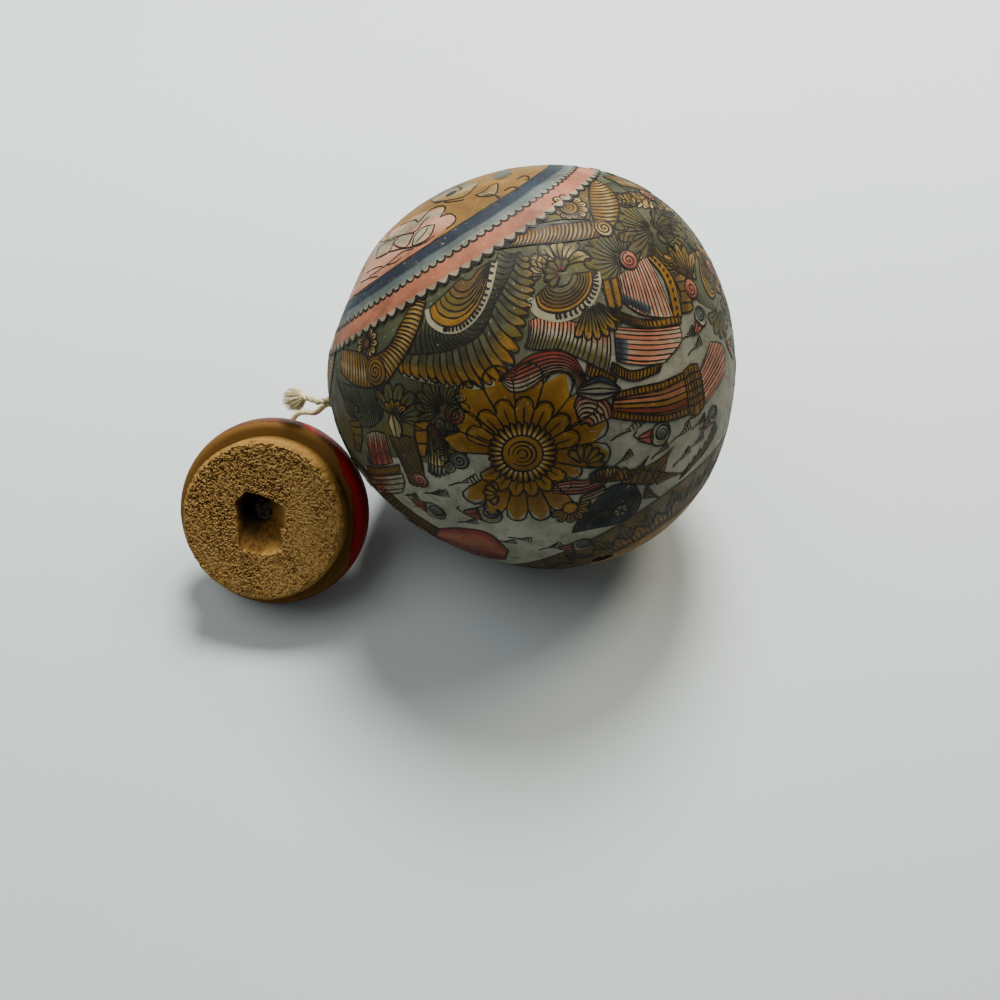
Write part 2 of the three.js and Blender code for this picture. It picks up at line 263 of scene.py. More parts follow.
class Finish:
    """A procedural material while its nodes are laid."""

    def __init__(self, name):
        self.material = bpy.data.materials.new(name)
        self.material.use_nodes = True
        self.tree = self.material.node_tree
        self.surface = self.tree.nodes["Principled BSDF"]

    def node(self, kind, inputs=None, **settings):
        node = self.tree.nodes.new(kind)
        for key, value in settings.items():
            setattr(node, key, value)
        for key, value in (inputs or {}).items():
            self.feed(node.inputs[key], value)
        return node

    def feed(self, socket, value):
        if isinstance(value, bpy.types.NodeSocket):
            self.tree.links.new(value, socket)
        else:
            socket.default_value = value

    def place(self):
        return self.node("ShaderNodeTexCoord").outputs["Object"]

    def attribute(self, name, output="Color"):
        return self.node("ShaderNodeAttribute", attribute_name=name).outputs[output]

    def clouds(self, scale, vector, detail=4.0, roughness=0.55):
        inputs = {"Vector": vector, "Scale": scale, "Detail": detail, "Roughness": roughness}
        return self.node("ShaderNodeTexNoise", inputs).outputs["Fac"]

    def parts(self, vector):
        return self.node("ShaderNodeSeparateXYZ", {"Vector": vector}).outputs

    def vector(self, operation, first, second=None, output="Vector"):
        node = self.node("ShaderNodeVectorMath", {0: first}, operation=operation)
        if second is not None:
            self.feed(node.inputs[1], second)
        return node.outputs[output]

    def calc(self, operation, first, second):
        node = self.node("ShaderNodeMath", operation=operation)
        self.feed(node.inputs[0], first)
        self.feed(node.inputs[1], second)
        return node.outputs[0]

    def span(self, value, low, high, new_low=0.0, new_high=1.0):
        inputs = {"Value": value, "From Min": low, "From Max": high, "To Min": new_low, "To Max": new_high}
        return self.node("ShaderNodeMapRange", inputs, interpolation_type="SMOOTHSTEP").outputs["Result"]

    def mix(self, factor, first, second, blend="MIX"):
        node = self.node("ShaderNodeMix", data_type="RGBA", blend_type=blend)
        for socket, value in ((node.inputs[0], factor), (node.inputs[6], first), (node.inputs[7], second)):
            plain = not isinstance(value, (float, bpy.types.NodeSocket))
            self.feed(socket, (*value[:3], 1.0) if plain else value)
        return node.outputs[2]

    def ramp(self, value, stops):
        node = self.node("ShaderNodeValToRGB", {"Fac": value})
        band = node.color_ramp
        for index, (spot, shade) in enumerate(stops):
            stop = band.elements[index] if index < 2 else band.elements.new(spot)
            stop.position = spot
            stop.color = (*shade, 1.0)
        return node.outputs["Color"]

    def bump(self, height, strength, distance):
        node = self.node("ShaderNodeBump", {"Height": height, "Strength": strength, "Distance": distance})
        self.feed(self.surface.inputs["Normal"], node.outputs["Normal"])

    def show(self, colour, roughness, **sockets):
        self.feed(self.surface.inputs["Base Color"], colour)
        self.feed(self.surface.inputs["Roughness"], roughness)
        for name, value in sockets.items():
            self.surface.inputs[name.replace("_", " ")].default_value = value
        return self.material


def aged_paint(finish, colour, low=0.36, high=0.77):
    """Old paint under varnish: blotches, brown grime, rubbed specks, brush marks, and painted shade that darkens it
    towards the bottom.
    """
    place = finish.place()
    blotch_and_shade = finish.span(finish.clouds(75.0, place, 6.0, 0.62), 0.3, 0.72, 0.62, 1.14)
    # Painted shade: the paint is darkened towards the bottom of the shell, from low at the floor to high further up
    height = finish.parts(place)["Z"]
    blotch_and_shade = finish.calc("MULTIPLY", blotch_and_shade, finish.span(height, 0.0, 0.085, low, high))
    shade = finish.node("ShaderNodeCombineColor", {"Red": blotch_and_shade, "Green": blotch_and_shade, "Blue": blotch_and_shade}).outputs["Color"]
    colour = finish.mix(1.0, colour, shade, "MULTIPLY")
    colour = finish.mix(1.0, colour, VARNISH, "MULTIPLY")
    grime = finish.span(finish.clouds(240.0, place, 6.0, 0.68), 0.47, 0.76, 0.0, 0.6)
    colour = finish.mix(grime, colour, tint(56, 47, 32))
    rubbed = finish.span(finish.clouds(900.0, place, 3.0, 0.6), 0.64, 0.75, 0.0, 0.55)
    colour = finish.mix(rubbed, colour, tint(150, 142, 116))
    coarse = finish.calc("MULTIPLY", finish.clouds(280.0, place, 3.0), 2.5)
    finish.bump(finish.calc("ADD", coarse, finish.clouds(1500.0, place, 3.0)), 0.22, 0.0003)
    gloss = finish.span(finish.clouds(160.0, place, 4.0), 0.3, 0.75, 0.5, 0.75)
    return finish.show(colour, gloss, Specular_IOR_Level=0.14)


def ground_finish(paint):
    """Chalk ground of the shell, tan round both ends, with painted light that makes the front of the belt paler."""
    finish = Finish("painted_ground")
    place = finish.place()
    unit = finish.vector("NORMALIZE", finish.vector("SUBTRACT", place, SHELL_CENTRE))
    along = finish.vector("DOT_PRODUCT", unit, PAINT_AXIS, "Value")
    height = finish.node("ShaderNodeMapRange", {"Value": along, "From Min": -1.0}).outputs["Result"]
    zones = finish.ramp(height, [
        (0.0, paint.tan), (0.10, paint.tan), (0.115, paint.chalk), (0.90, paint.chalk), (0.925, paint.tan),
    ])
    # Painted light: the belt's front is mixed towards a paler chalk, as if more light fell on it
    front = finish.span(finish.parts(place)["Y"], -0.012, -0.042, 0.0, 0.75)
    low = finish.span(along, -0.72, -0.5, 0.0, 1.0)
    high = finish.span(along, 0.72, 0.82, 1.0, 0.0)
    clean_and_painted_light = finish.calc("MULTIPLY", finish.calc("MULTIPLY", front, low), high)
    zones = finish.mix(clean_and_painted_light, zones, tint(146, 147, 138))
    # The ground takes only a little of the painted shade towards the bottom
    return aged_paint(finish, zones, 0.74, 0.8)


def coat_finish(name):
    """Paint in the colours that the patches carry."""
    finish = Finish(name)
    return aged_paint(finish, finish.attribute("pigment"))


def ink_finish(paint):
    """Brown-black ink that thins out along the stroke."""
    finish = Finish("ink_line")
    place = finish.place()
    thin = finish.span(finish.clouds(420.0, place, 4.0), 0.42, 0.78, 0.0, 0.45)
    colour = finish.mix(thin, paint.ink, tint(58, 46, 30))
    finish.bump(finish.clouds(2400.0, place, 2.0), 0.1, 0.0001)
    return finish.show(colour, finish.span(finish.clouds(300.0, place), 0.3, 0.7, 0.5, 0.7),
                       Specular_IOR_Level=0.14)


def raw_shell_finish(name, base):
    """Fibrous coconut shell, scraped or sawn."""
    finish = Finish(name)
    place = finish.place()
    fibre = finish.clouds(700.0, place, 5.0, 0.7)
    patch = finish.clouds(80.0, place, 4.0)
    colour = finish.mix(finish.span(fibre, 0.35, 0.7), tuple(c * 0.45 for c in base), base)
    colour = finish.mix(finish.span(patch, 0.4, 0.7, 0.0, 0.4), colour, tint(92, 66, 40))
    finish.bump(fibre, 0.5, 0.0004)
    return finish.show(colour, finish.span(fibre, 0.3, 0.7, 0.6, 0.85))


def cotton_finish(name, cord, painted_shade):
    """Twisted cotton, dull and fuzzy, a little grey in the twist; the last argument darkens it near to black as
    painted shade.
    """
    finish = Finish(name)
    place = finish.place()
    fibre = finish.clouds(2600.0, place, 3.0, 0.7)
    dull = finish.clouds(240.0, place, 3.0)
    colour = finish.mix(finish.span(fibre, 0.3, 0.7), tuple(c * 0.66 for c in cord.cotton), cord.cotton)
    colour = finish.mix(finish.span(dull, 0.45, 0.75, 0.0, 0.5), colour, tint(176, 158, 116))
    # Painted shade: mixes the cotton towards near-black brown
    colour = finish.mix(painted_shade, colour, tint(26, 17, 8))
    finish.bump(fibre, 0.6, 0.00015)
    return finish.show(colour, finish.span(fibre, 0.3, 0.7, 0.85, 0.98), Sheen_Weight=0.25 * (1 - painted_shade))


def lid_finish(lid):
    """Bare wood with torn end grain, and lacquer brushed over the head up to a ragged edge."""
    finish = Finish("turned_wood")
    place = finish.attribute("lid_place", "Vector")
    parts = finish.parts(place)
    stretch = finish.node("ShaderNodeMapping", {"Vector": place, "Scale": (1.0, 1.0, 0.06)}).outputs[0]
    streak = finish.clouds(1.5, stretch, 5.0, 0.6)
    broad = finish.clouds(0.16, place, 4.0)
    wood = finish.mix(finish.span(streak, 0.36, 0.72, 0.0, 0.62), lid.wood, lid.grain)
    wood = finish.mix(finish.span(broad, 0.35, 0.75, 0.0, 0.35), wood, tint(134, 90, 34))
    wood = finish.mix(finish.span(parts["Z"], 0.5, 7.0, 0.8, 0.0), wood, tint(78, 51, 16))
    # Torn end grain: random tone, and painted shade that darkens it the deeper it is torn
    torn = finish.clouds(2.8, place, 6.0, 0.72)
    deep = finish.calc("MULTIPLY", finish.attribute("pore", "Fac"), 0.66)
    shade = finish.calc("ADD", deep, finish.span(torn, 0.3, 0.72, -0.06, 0.34))
    end_colour = finish.ramp(shade, [
        (0.0, tint(160, 129, 75)), (0.9, tint(24, 13, 4)), (0.24, tint(122, 92, 46)), (0.52, tint(70, 46, 19)),
    ])
    wood = finish.mix(finish.attribute("end_grain", "Fac"), wood, end_colour)
    # Painted shade in the hand-cut recess, darkest deep inside, and its split fibres
    recess_shade = finish.attribute("recess_shade", "Fac")
    split = finish.span(finish.clouds(1.1, stretch, 3.0, 0.5), 0.46, 0.6)
    wood = finish.mix(finish.span(recess_shade, 0.02, 0.2, 0.0, 0.9), wood, tint(86, 59, 17))
    wood = finish.mix(finish.calc("MULTIPLY", split, finish.span(recess_shade, 0.0, 0.3, 0.0, 0.75)), wood,
                      tint(58, 35, 11))
    wood = finish.mix(finish.span(recess_shade, 0.3, 1.0, 0.0, 0.95), wood, tint(20, 10, 4))
    # Lacquer starts at the head's edge and comes far over the seat on one side
    flat = finish.vector("MULTIPLY", place, (1.0, 1.0, 0.0))
    away = finish.vector("LENGTH", flat, output="Value")
    lean = finish.vector("DOT_PRODUCT", flat, (0.99, 0.14, 0.0), "Value")
    facing = finish.span(finish.calc("DIVIDE", lean, away), 0.7, 0.98, 0.0, 2.9)
    ragged = finish.span(finish.clouds(0.34, place, 5.0, 0.65), 0.3, 0.7, -0.45, 0.45)
    edge = finish.calc("ADD", finish.calc("ADD", away, facing), ragged)
    edge = finish.calc("ADD", edge, finish.span(parts["Z"], -6.6, -5.2, 35.0, 0.0))
    lacquered = finish.span(edge, 27.05, 27.3)
    side = finish.calc("ADD", parts["X"], finish.span(finish.clouds(0.12, place), 0.3, 0.7, -6.0, 6.0))
    side = finish.calc("ADD", side, finish.span(parts["Z"], -10.0, -6.5, 24.0, 0.0))
    lacquer = finish.mix(finish.span(side, 4.0, 18.0), lid.orange, lid.red)
    lacquer = finish.mix(finish.span(finish.clouds(0.7, place, 4.0), 0.5, 0.78, 0.0, 0.5), lacquer, tint(42, 8, 4))
    lacquer = finish.mix(finish.span(edge, 27.1, 27.7, 0.7, 0.0), lacquer, tint(40, 16, 6))
    colour = finish.mix(lacquered, wood, lacquer)
    finish.bump(finish.calc("ADD", torn, finish.clouds(7.0, place, 3.0)), 0.35, 0.0003)
    rough = finish.mix(lacquered, (0.8, 0.8, 0.8), (0.42, 0.42, 0.42))
    return finish.show(colour, rough, Specular_IOR_Level=0.1)


def floor_finish(stage):
    """Pale board, with painted shade that makes it a little darker towards the front."""
    finish = Finish("pale_floor")
    place = finish.place()
    soft = finish.span(finish.clouds(6.0, place, 3.0), 0.3, 0.7)
    colour = finish.mix(soft, tuple(c * 0.97 for c in stage.floor), stage.floor)
    # Painted shade: the light's fall-off towards the front
    front = finish.span(finish.parts(place)["Y"], -0.6, -0.15, 0.4, 0.0)
    colour = finish.mix(front, colour, tint(92, 95, 96))
    return finish.show(colour, 0.55, Specular_IOR_Level=0.2)


# Meshes


def new_piece(name, bm, *materials):
    """A finished piece from a bmesh, at the origin, smooth, with its materials."""
    mesh = bpy.data.meshes.new(name)
    bm.to_mesh(mesh)
    bm.free()
    piece = bpy.data.objects.new(name, mesh)
    for material in materials:
        mesh.materials.append(material)
    bpy.context.scene.collection.objects.link(piece)
    mesh.shade_smooth()
    return piece


def baked(piece):
    """The piece with its modifiers applied, as a new mesh of its own."""
    graph = bpy.context.evaluated_depsgraph_get()
    mesh = bpy.data.meshes.new_from_object(piece.evaluated_get(graph))
    piece.modifiers.clear()
    piece.data = mesh
    return piece


def carved(piece, cutters):
    """The piece less its cutters, which are removed."""
    for cutter in cutters:
        cut = piece.modifiers.new("cut", "BOOLEAN")
        cut.operation = "DIFFERENCE"
        cut.solver = "EXACT"
        cut.object = cutter
    baked(piece)
    for cutter in cutters:
        mesh = cutter.data
        bpy.data.objects.remove(cutter)
        bpy.data.meshes.remove(mesh)
    return piece


def rod(name, start, way, near, far, radius, sides):
    """A round cutter along a direction, between two distances from its start."""
    bm = bmesh.new()
    turn = way.to_track_quat("Z", "Y").to_matrix().to_4x4()
    place = Matrix.Translation(start + way * (near + far) / 2) @ turn
    bmesh.ops.create_cone(
        bm, cap_ends=True, segments=sides, radius1=radius, radius2=radius, depth=far - near, matrix=place,
    )
    return new_piece(name, bm)


def smooth_line(points, share):
    """A point on the smooth curve through given points, at a share of the way."""
    if len(points) == 2:
        return tuple(a + (b - a) * share for a, b in zip(*points))
    spot = min(max(share, 0.0), 1.0) * (len(points) - 1)
    index = min(int(spot), len(points) - 2)
    t = spot - index
    first = points[max(index - 1, 0)]
    last = points[min(index + 2, len(points) - 1)]
    return tuple(
        0.5 * (2 * b + (c - a) * t + (2 * a - 5 * b + 4 * c - d) * t * t + (3 * b - a - 3 * c + d) * t ** 3)
        for a, b, c, d in zip(first, points[index], points[index + 1], last)
    )


# Cord


def cord_route(points):
    """Close points along a route that is listed from the cord's exit."""
    steps = 9 * (len(points) - 1)
    return [CORD_EXIT + Vector(smooth_line(points, step / steps)) * MM for step in range(steps + 1)]


def cross_frames(route):
    """Two directions across the route at each of its points, carried along without twist."""
    across = None
    frames = []
    for index in range(len(route)):
        way = (route[min(index + 1, len(route) - 1)] - route[max(index - 1, 0)]).normalized()
        if across is None:
            across = way.orthogonal()
        across = (across - way * across.dot(way)).normalized()
        frames.append((across.copy(), way.cross(across)))
    return frames


def thread_piece(name, threads):
    """A piece of many round threads. Each thread is its points, its radius and its end's share of it."""
    data = bpy.data.curves.new(name, "CURVE")
    data.dimensions = "3D"
    data.bevel_depth = 1.0
    data.bevel_resolution = 1
    data.use_fill_caps = True
    for points, radius, end in threads:
        spline = data.splines.new("POLY")
        spline.points.add(len(points) - 1)
        for index, (knot, point) in enumerate(zip(spline.points, points)):
            knot.co = (*point, 1.0)
            knot.radius = radius * (1 + (end - 1) * index / (len(points) - 1))
    thing = bpy.data.objects.new(name, data)
    bpy.context.scene.collection.objects.link(thing)
    graph = bpy.context.evaluated_depsgraph_get()
    mesh = bpy.data.meshes.new_from_object(thing.evaluated_get(graph))
    bpy.data.objects.remove(thing)
    bpy.data.curves.remove(data)
    piece = bpy.data.objects.new(name, mesh)
    bpy.context.scene.collection.objects.link(piece)
    mesh.shade_smooth()
    return piece


def twisted_cord(name, route, cord, seed, fuzz=40):
    """Two plies twisted round each other along a route, with loose fibres."""
    rng = random.Random(seed)
    frames = cross_frames(route)
    ply = cord.diameter * 0.32
    threads = []
    for side in (0.0, math.pi):
        run = 0.0
        points = []
        for index, point in enumerate(route):
            if index:
                run += (point - route[index - 1]).length
            angle = side + 2 * math.pi * run / cord.lay
            across, over = frames[index]
            points.append(point + (across * math.cos(angle) + over * math.sin(angle)) * ply * 0.86)
        threads.append((points, ply, 1.0))
        for strand in range(3):
            bias = 2 * math.pi * strand / 3
            fine = []
            for index, point in enumerate(points):
                across, over = frames[index]
                angle = bias - math.pi * index
                fine.append(point + (across * math.cos(angle) + over * math.sin(angle)) * ply * 0.62)
            threads.append((fine, ply * 0.5, 1.0))
    for _ in range(fuzz):
        index = rng.randrange(1, len(route) - 2)
        across, over = frames[index]
        angle = rng.uniform(0, 2 * math.pi)
        out = across * math.cos(angle) + over * math.sin(angle)
        along = (route[index + 1] - route[index]).normalized() * rng.uniform(-0.8, 0.8)
        root = route[index] + out * cord.diameter * 0.4
        tip = root + (out + along) * rng.uniform(0.3, 0.9) * MM
        middle = (root + tip) / 2 + along.cross(out) * rng.uniform(-0.2, 0.2) * MM
        threads.append(([root, middle, tip], 0.025 * MM, 0.4))
    return thread_piece(name, threads)


def tuft_piece(name, start, seed):
    """The frayed end: crimped cotton fibres that open into a brush."""
    rng = random.Random(seed)
    across = TUFT_WAY.orthogonal().normalized()
    over = TUFT_WAY.cross(across)
    threads = []
    for _ in range(TUFT_FIBRES):
        angle = rng.uniform(0, 2 * math.pi)
        spread = math.sqrt(rng.random())
        out = across * math.cos(angle) + over * math.sin(angle)
        reach = rng.uniform(4.6, 7.0) * (1.05 - 0.3 * spread * spread) * MM
        wave = rng.uniform(0, 2 * math.pi)
        points = []
        for step in range(7):
            share = step / 6
            wide = (0.6 + 2.9 * math.sin(min(1.0, share * 1.25) * math.pi / 2)) * spread * MM
            crimp = math.sin(wave + 9 * share) * 0.16 * share * MM
            points.append(start + TUFT_WAY * (reach * share - 0.5 * MM) + out * wide + TUFT_WAY.cross(out) * crimp)
        threads.append((points, rng.uniform(0.07, 0.12) * MM, 0.6))
    return thread_piece(name, threads)


def knot_route(middle, facing, radius):
    """The closed line of an overhand knot with its flat side across a direction."""
    steps = 110
    turn = facing.to_track_quat("Z", "Y")
    route = []
    for step in range(steps + 1):
        u = 4 * math.pi * step / steps
        wide = radius * (2 + math.cos(1.5 * u)) * 0.5
        local = Vector((wide * math.cos(u), wide * math.sin(u), radius * math.sin(1.5 * u) * 0.5))
        route.append(middle + turn @ local)
    return route


# Painting

# Where the nut is hollower or fuller than an even egg: direction, depth in millimetres, width in degrees
DENTS = [
    ((-0.030, 0.560, 0.815), 2.3, 25.0),
    ((0.395, 0.500, 0.770), 1.0, 18.0),
    ((-0.938, 0.105, 0.325), 2.2, 15.0),
    ((0.974, -0.209, 0.088), -0.5, 35.0),
]


class ShellForm:
    """The outside of the nut."""

    def __init__(self, shell):
        self.radius = shell.radius
        self.egg = shell.egg
        self.uneven = shell.uneven

    def reach(self, way):
        along = way.dot(NUT_AXIS)
        dents = math.sin(5.3 * way.x + 1.2) * math.sin(4.1 * way.y - 0.6) + math.sin(6.7 * way.z + 2.9 * way.y)
        reach = self.radius + self.egg * (5 * along ** 3 - 3 * along) / 2 + self.uneven * dents * 0.5
        for middle, depth, width in DENTS:
            angle = math.degrees(way.angle(Vector(middle)))
            reach -= depth * MM * math.exp(-(angle / width) ** 2)
        return reach

    def point(self, way, lift):
        return SHELL_CENTRE + way * (self.reach(way) + lift)


class Globe:
    """Map of the shell by longitude to the painting's right and latitude up, in degrees."""

    def __init__(self, form, start=0.0):
        self.form = form
        self.start = start

    def way(self, longitude, latitude):
        turn = math.radians(longitude + self.start)
        rise = math.radians(latitude)
        level = PAINT_FRONT * math.cos(turn) + PAINT_EAST * math.sin(turn)
        return level * math.cos(rise) + PAINT_AXIS * math.sin(rise)

    def at(self, x, y, lift):
        return self.form.point(self.way(x, y), lift)


class Spot:
    """Map of one small place of the shell in millimetres, turned clockwise from the painting's up."""

    def __init__(self, globe, longitude, latitude, turn):
        self.form = globe.form
        self.out = globe.way(longitude, latitude)
        self.depth = self.form.reach(self.out)
        east = PAINT_AXIS.cross(self.out).normalized()
        north = self.out.cross(east)
        angle = math.radians(turn)
        self.up = north * math.cos(angle) + east * math.sin(angle)
        self.right = east * math.cos(angle) - north * math.sin(angle)

    def at(self, x, y, lift):
        away = math.hypot(x, y)
        if away < 1e-6:
            return self.form.point(self.out, lift)
        angle = away * MM / self.depth
        side = (self.right * x + self.up * y) / away
        return self.form.point(self.out * math.cos(angle) + side * math.sin(angle), lift)


def arc(radius, start, stop, steps):
    """Points of an arc about a spot's middle. Angles run clockwise from its up."""
    points = []
    for step in range(steps + 1):
        angle = math.radians(start + (stop - start) * step / steps)
        points.append((radius * math.sin(angle), radius * math.cos(angle)))
    return points


def beside(line, width):
    """The line moved sideways by a width."""
    moved = []
    for index, (x, y) in enumerate(line):
        before = line[max(index - 1, 0)]
        after = line[min(index + 1, len(line) - 1)]
        dx, dy = after[0] - before[0], after[1] - before[1]
        long = math.hypot(dx, dy)
        moved.append((x - dy / long * width, y + dx / long * width))
    return moved


class Skin:
    """Thin patches gathered in batches, because an operator looks through the whole of its mesh."""
    batch_size = 160

    def __init__(self):
        self.whole = bmesh.new()
        self.start()

    def start(self):
        self.batch = bmesh.new()
        self.pigment = self.batch.verts.layers.float_color.new("pigment")
        self.count = 0

    def patch(self, across, along):
        """The corners of a new patch, row by row."""
        if self.count == self.batch_size:
            self.gather()
        self.count += 1
        return bmesh.ops.create_grid(self.batch, x_segments=across, y_segments=along, size=0.5)["verts"]

    def gather(self):
        mesh = bpy.data.meshes.new("batch")
        self.batch.to_mesh(mesh)
        self.batch.free()
        self.whole.from_mesh(mesh)
        bpy.data.meshes.remove(mesh)
        self.start()


class Painting:
    """Colour washes and ink strokes as thin skins that lie on the shell."""

    def __init__(self, paint, seed):
        self.line = paint.line
        self.rng = random.Random(seed)
        self.fills = Skin()
        self.inks = Skin()
        self.colours = {name: Vector(getattr(paint, name)) for name in paint.__annotations__ if name != "line"}

    def mixed(self, names, share):
        """The colour at a share of the way through a list of paints."""
        spot = min(max(share, 0.0), 1.0) * (len(names) - 1)
        index = min(int(spot), len(names) - 2) if len(names) > 1 else 0
        first = self.colours[names[index]]
        return first.lerp(self.colours[names[min(index + 1, len(names) - 1)]], spot - index)

    def wash(self, ground, place, names, across, along, level):
        """A patch of colour. place gives the ground's x and y for the shares across and along it."""
        corners = self.fills.patch(across, along)
        strength = self.rng.uniform(0.9, 1.08)
        for vert in corners:
            u = vert.co.x + 0.5
            t = vert.co.y + 0.5
            vert[self.fills.pigment] = (*(self.mixed(names, t) * strength), 1.0)
            vert.co = ground.at(*place(u, t), level * COAT)

    def stroke(self, ground, points, level, weight=1.0):
        """An ink line that swells in its middle."""
        spine = [ground.at(x, y, level * COAT) for x, y in points]
        last = len(spine) - 1
        corners = self.inks.patch(1, last)
        half = self.line / 2 * weight * self.rng.uniform(0.85, 1.15)
        for index, point in enumerate(spine):
            ahead = spine[min(index + 1, last)] - spine[max(index - 1, 0)]
            side = ahead.cross(point - SHELL_CENTRE).normalized()
            press = half * (0.5 + 0.5 * math.sin(math.pi * (index + 0.6) / (last + 1.2)) ** 0.6)
            press *= 1.0 + 0.45 * noise.noise(point / MM * 0.7)
            corners[2 * index].co = point - side * press
            corners[2 * index + 1].co = point + side * press

    def trace(self, ground, points, level, weight=1.0):
        """An ink line along the smooth curve through a few points."""
        steps = 4 * (len(points) - 1)
        self.stroke(ground, [smooth_line(points, step / steps) for step in range(steps + 1)], level, weight)

    def fringe(self, ground, root, tip, count, washes, level, scallop=0.0, point=False, bow=0.0, rings=(),
               ribs=0, edges=True, lines=True, across=2, weight=1.0):
        """Strips side by side from a root line to a tip line: feathers, petals, ribs, folds or stripes."""
        washes = washes if isinstance(washes[0], (list, tuple)) else [washes]

        def place(s, t):
            x, y = smooth_line(root, s)
            to_x, to_y = smooth_line(tip, s)
            dx, dy = to_x - x, to_y - y
            shift = bow * math.sin(math.pi * t) / max(math.hypot(dx, dy), 0.01)
            return x + dx * t - dy * shift, y + dy * t + dx * shift

        def reach(u):
            off = abs(2 * u - 1)
            return 1 - scallop * (off if point else 1 - math.sqrt(max(0.0, 1 - off * off)))

        ends = [Vector(smooth_line(root, 0.5)), Vector(smooth_line(tip, 0.5))]
        along = max(2, math.ceil((ends[1] - ends[0]).length / 1.9))
        for strip in range(count):
            self.wash(ground, lambda u, t: place((strip + u) / count, t * reach(u)), washes[strip % len(washes)],
                      across, along, level)
        ink = level + 1
        if lines:
            for strip in range(count + 1):
                self.stroke(ground, [place(strip / count, step / along * reach(0.0)) for step in range(along + 1)],
                            ink, weight)
        if scallop:
            arcs = 4 if point else 7
            for strip in range(count):
                self.stroke(ground, [place((strip + step / arcs) / count, reach(step / arcs))
                                     for step in range(arcs + 1)], ink, weight)
        steps = max(6, count * across)
        if edges:
            self.stroke(ground, [place(step / steps, 0.0) for step in range(steps + 1)], ink, weight)
            if not scallop:
                self.stroke(ground, [place(step / steps, 1.0) for step in range(steps + 1)], ink, weight)
        for ring in rings:
            self.stroke(ground, [place(step / steps, ring) for step in range(steps + 1)], ink, weight)
        for strip in range(count):
            for rib in range(ribs):
                s = (strip + (rib + 1) / (ribs + 1)) / count
                self.stroke(ground, [place(s, 0.06 + 0.7 * step / along) for step in range(along + 1)], ink,
                            weight * 0.8)

    def fan(self, ground, inner, outer, start, stop, count, washes, level, scallop=0.32, ribs=0, bow=0.0,
            weight=1.0):
        """Petals round a spot, between two radii and two clockwise angles."""
        steps = max(4, count)
        self.fringe(ground, arc(inner, start, stop, steps), arc(outer, start, stop, steps), count, washes, level,
                    scallop=scallop, ribs=ribs, bow=bow, edges=False, weight=weight)

    def disc(self, ground, x, y, radius, names, level):
        """A round of colour with an outline."""
        def place(u, t):
            a, b = 2 * u - 1, 2 * t - 1
            return (x + radius * a * math.sqrt(1 - b * b / 2), y + radius * b * math.sqrt(1 - a * a / 2))

        cells = max(3, round(radius * 1.6))
        self.wash(ground, place, names, cells, cells, level)
        self.stroke(ground, [(x + a, y + b) for a, b in arc(radius, 0, 360, 16)], level + 1)

    def spiral(self, ground, x, y, radius, turns, level, weight=0.9):
        """An ink coil that opens from a middle."""
        steps = round(12 * turns)
        points = []
        for step in range(steps + 1):
            share = step / steps
            angle = 2 * math.pi * turns * share
            points.append((x + radius * share * math.sin(angle), y + radius * share * math.cos(angle)))
        self.stroke(ground, points, level, weight)

    def coil(self, ground, radius, inner, turns, names, level):
        """A round with an ink coil in it."""
        self.disc(ground, 0, 0, radius, names, level)
        self.spiral(ground, 0, 0, inner, turns, level + 1)

    def sprays(self, globe, rows, **options):
        """Leaf fans. A row is a place, two angles, a radius, a count, the washes and a level."""
        for longitude, latitude, low, high, radius, count, washes, level in rows:
            spot = Spot(globe, longitude, latitude, UPRIGHT)
            self.fan(spot, 1.0, radius, low, high, count, washes, level, ribs=1, **options)

    def patch(self, ground, root, tip, names, level, across):
        """A field of colour between two lines, with no ink."""
        self.fringe(ground, root, tip, 1, names, level, lines=False, edges=False, across=across)

    def ticks(self, ground, line, count, reach, level):
        """Short heavy marks that stand off a line."""
        ends = beside([smooth_line(line, step / count) for step in range(count + 1)], reach)
        for step in range(count + 1):
            x, y = smooth_line(line, step / count)
            bent = (0.35 * x + 0.65 * ends[step][0] + 0.3, 0.35 * y + 0.65 * ends[step][1])
            self.stroke(ground, [(x, y), bent, ends[step]], level, 1.4)

    def clouds(self, globe, level, rows):
        """Drifting cloud scrolls: blue coil, red beak, pale puff. A row is a place, a turn and a width."""
        for longitude, latitude, turn, width in rows:
            spot = Spot(globe, longitude, latitude, turn)
            self.disc(spot, 0, 0, width, ["white", "white", "sky"], level)
            self.disc(spot, 0.15 * width, 0.1 * width, width * 0.6, ["navy", "sky", "white"], level + 1)
            self.spiral(spot, 0.15 * width, 0.1 * width, width * 0.85, 2.6, level + 2, 0.7)
            beak = [(-width * 0.75, width * 0.7), (-width * 0.75, -width * 0.7)]
            self.fringe(spot, beak, [(-width * 2.0, width * 0.35), (-width * 2.0, -width * 0.1)], 2,
                        [["rose", "salmon"], ["salmon", "rose"]], level + 1)
            self.trace(spot, [(-width * 2.0, 0), (-width * 2.5, width * 0.5), (-width * 2.2, width * 0.8)],
                       level + 2, 0.8)

    def ripples(self, globe, level, rows):
        """Lines of air that end in a comb of small curls. A row is a place, a turn and a length."""
        for longitude, latitude, turn, length in rows:
            spot = Spot(globe, longitude, latitude, turn)
            self.trace(spot, [(0, 0), (length * 0.35, 0.7), (length * 0.7, 0.5)], level, 0.8)
            for curl in range(4):
                x = length * (0.62 + 0.12 * curl)
                high = 0.9 + 0.5 * curl
                self.trace(spot, [(x - 0.6, high * 0.5 + 0.6), (x + 0.4, high + 0.4), (x + 0.8, 0.2)], level, 0.75)

    def ear(self, ground, root, rim, level, washes=("bark", "bark", "bark", "olive", "olive", "ochre", "mustard")):
        """Nested arcs that widen from a root to a bright rim."""
        self.fringe(ground, root, rim, 1, list(washes), level, rings=(0.26, 0.4, 0.54, 0.68, 0.82), across=20)

    def halo(self, ground, line, width, level):
        """A chalk edge left along a line, with no ink."""
        self.patch(ground, line, beside(line, width), ["white", "white"], level, 6 * (len(line) - 1))

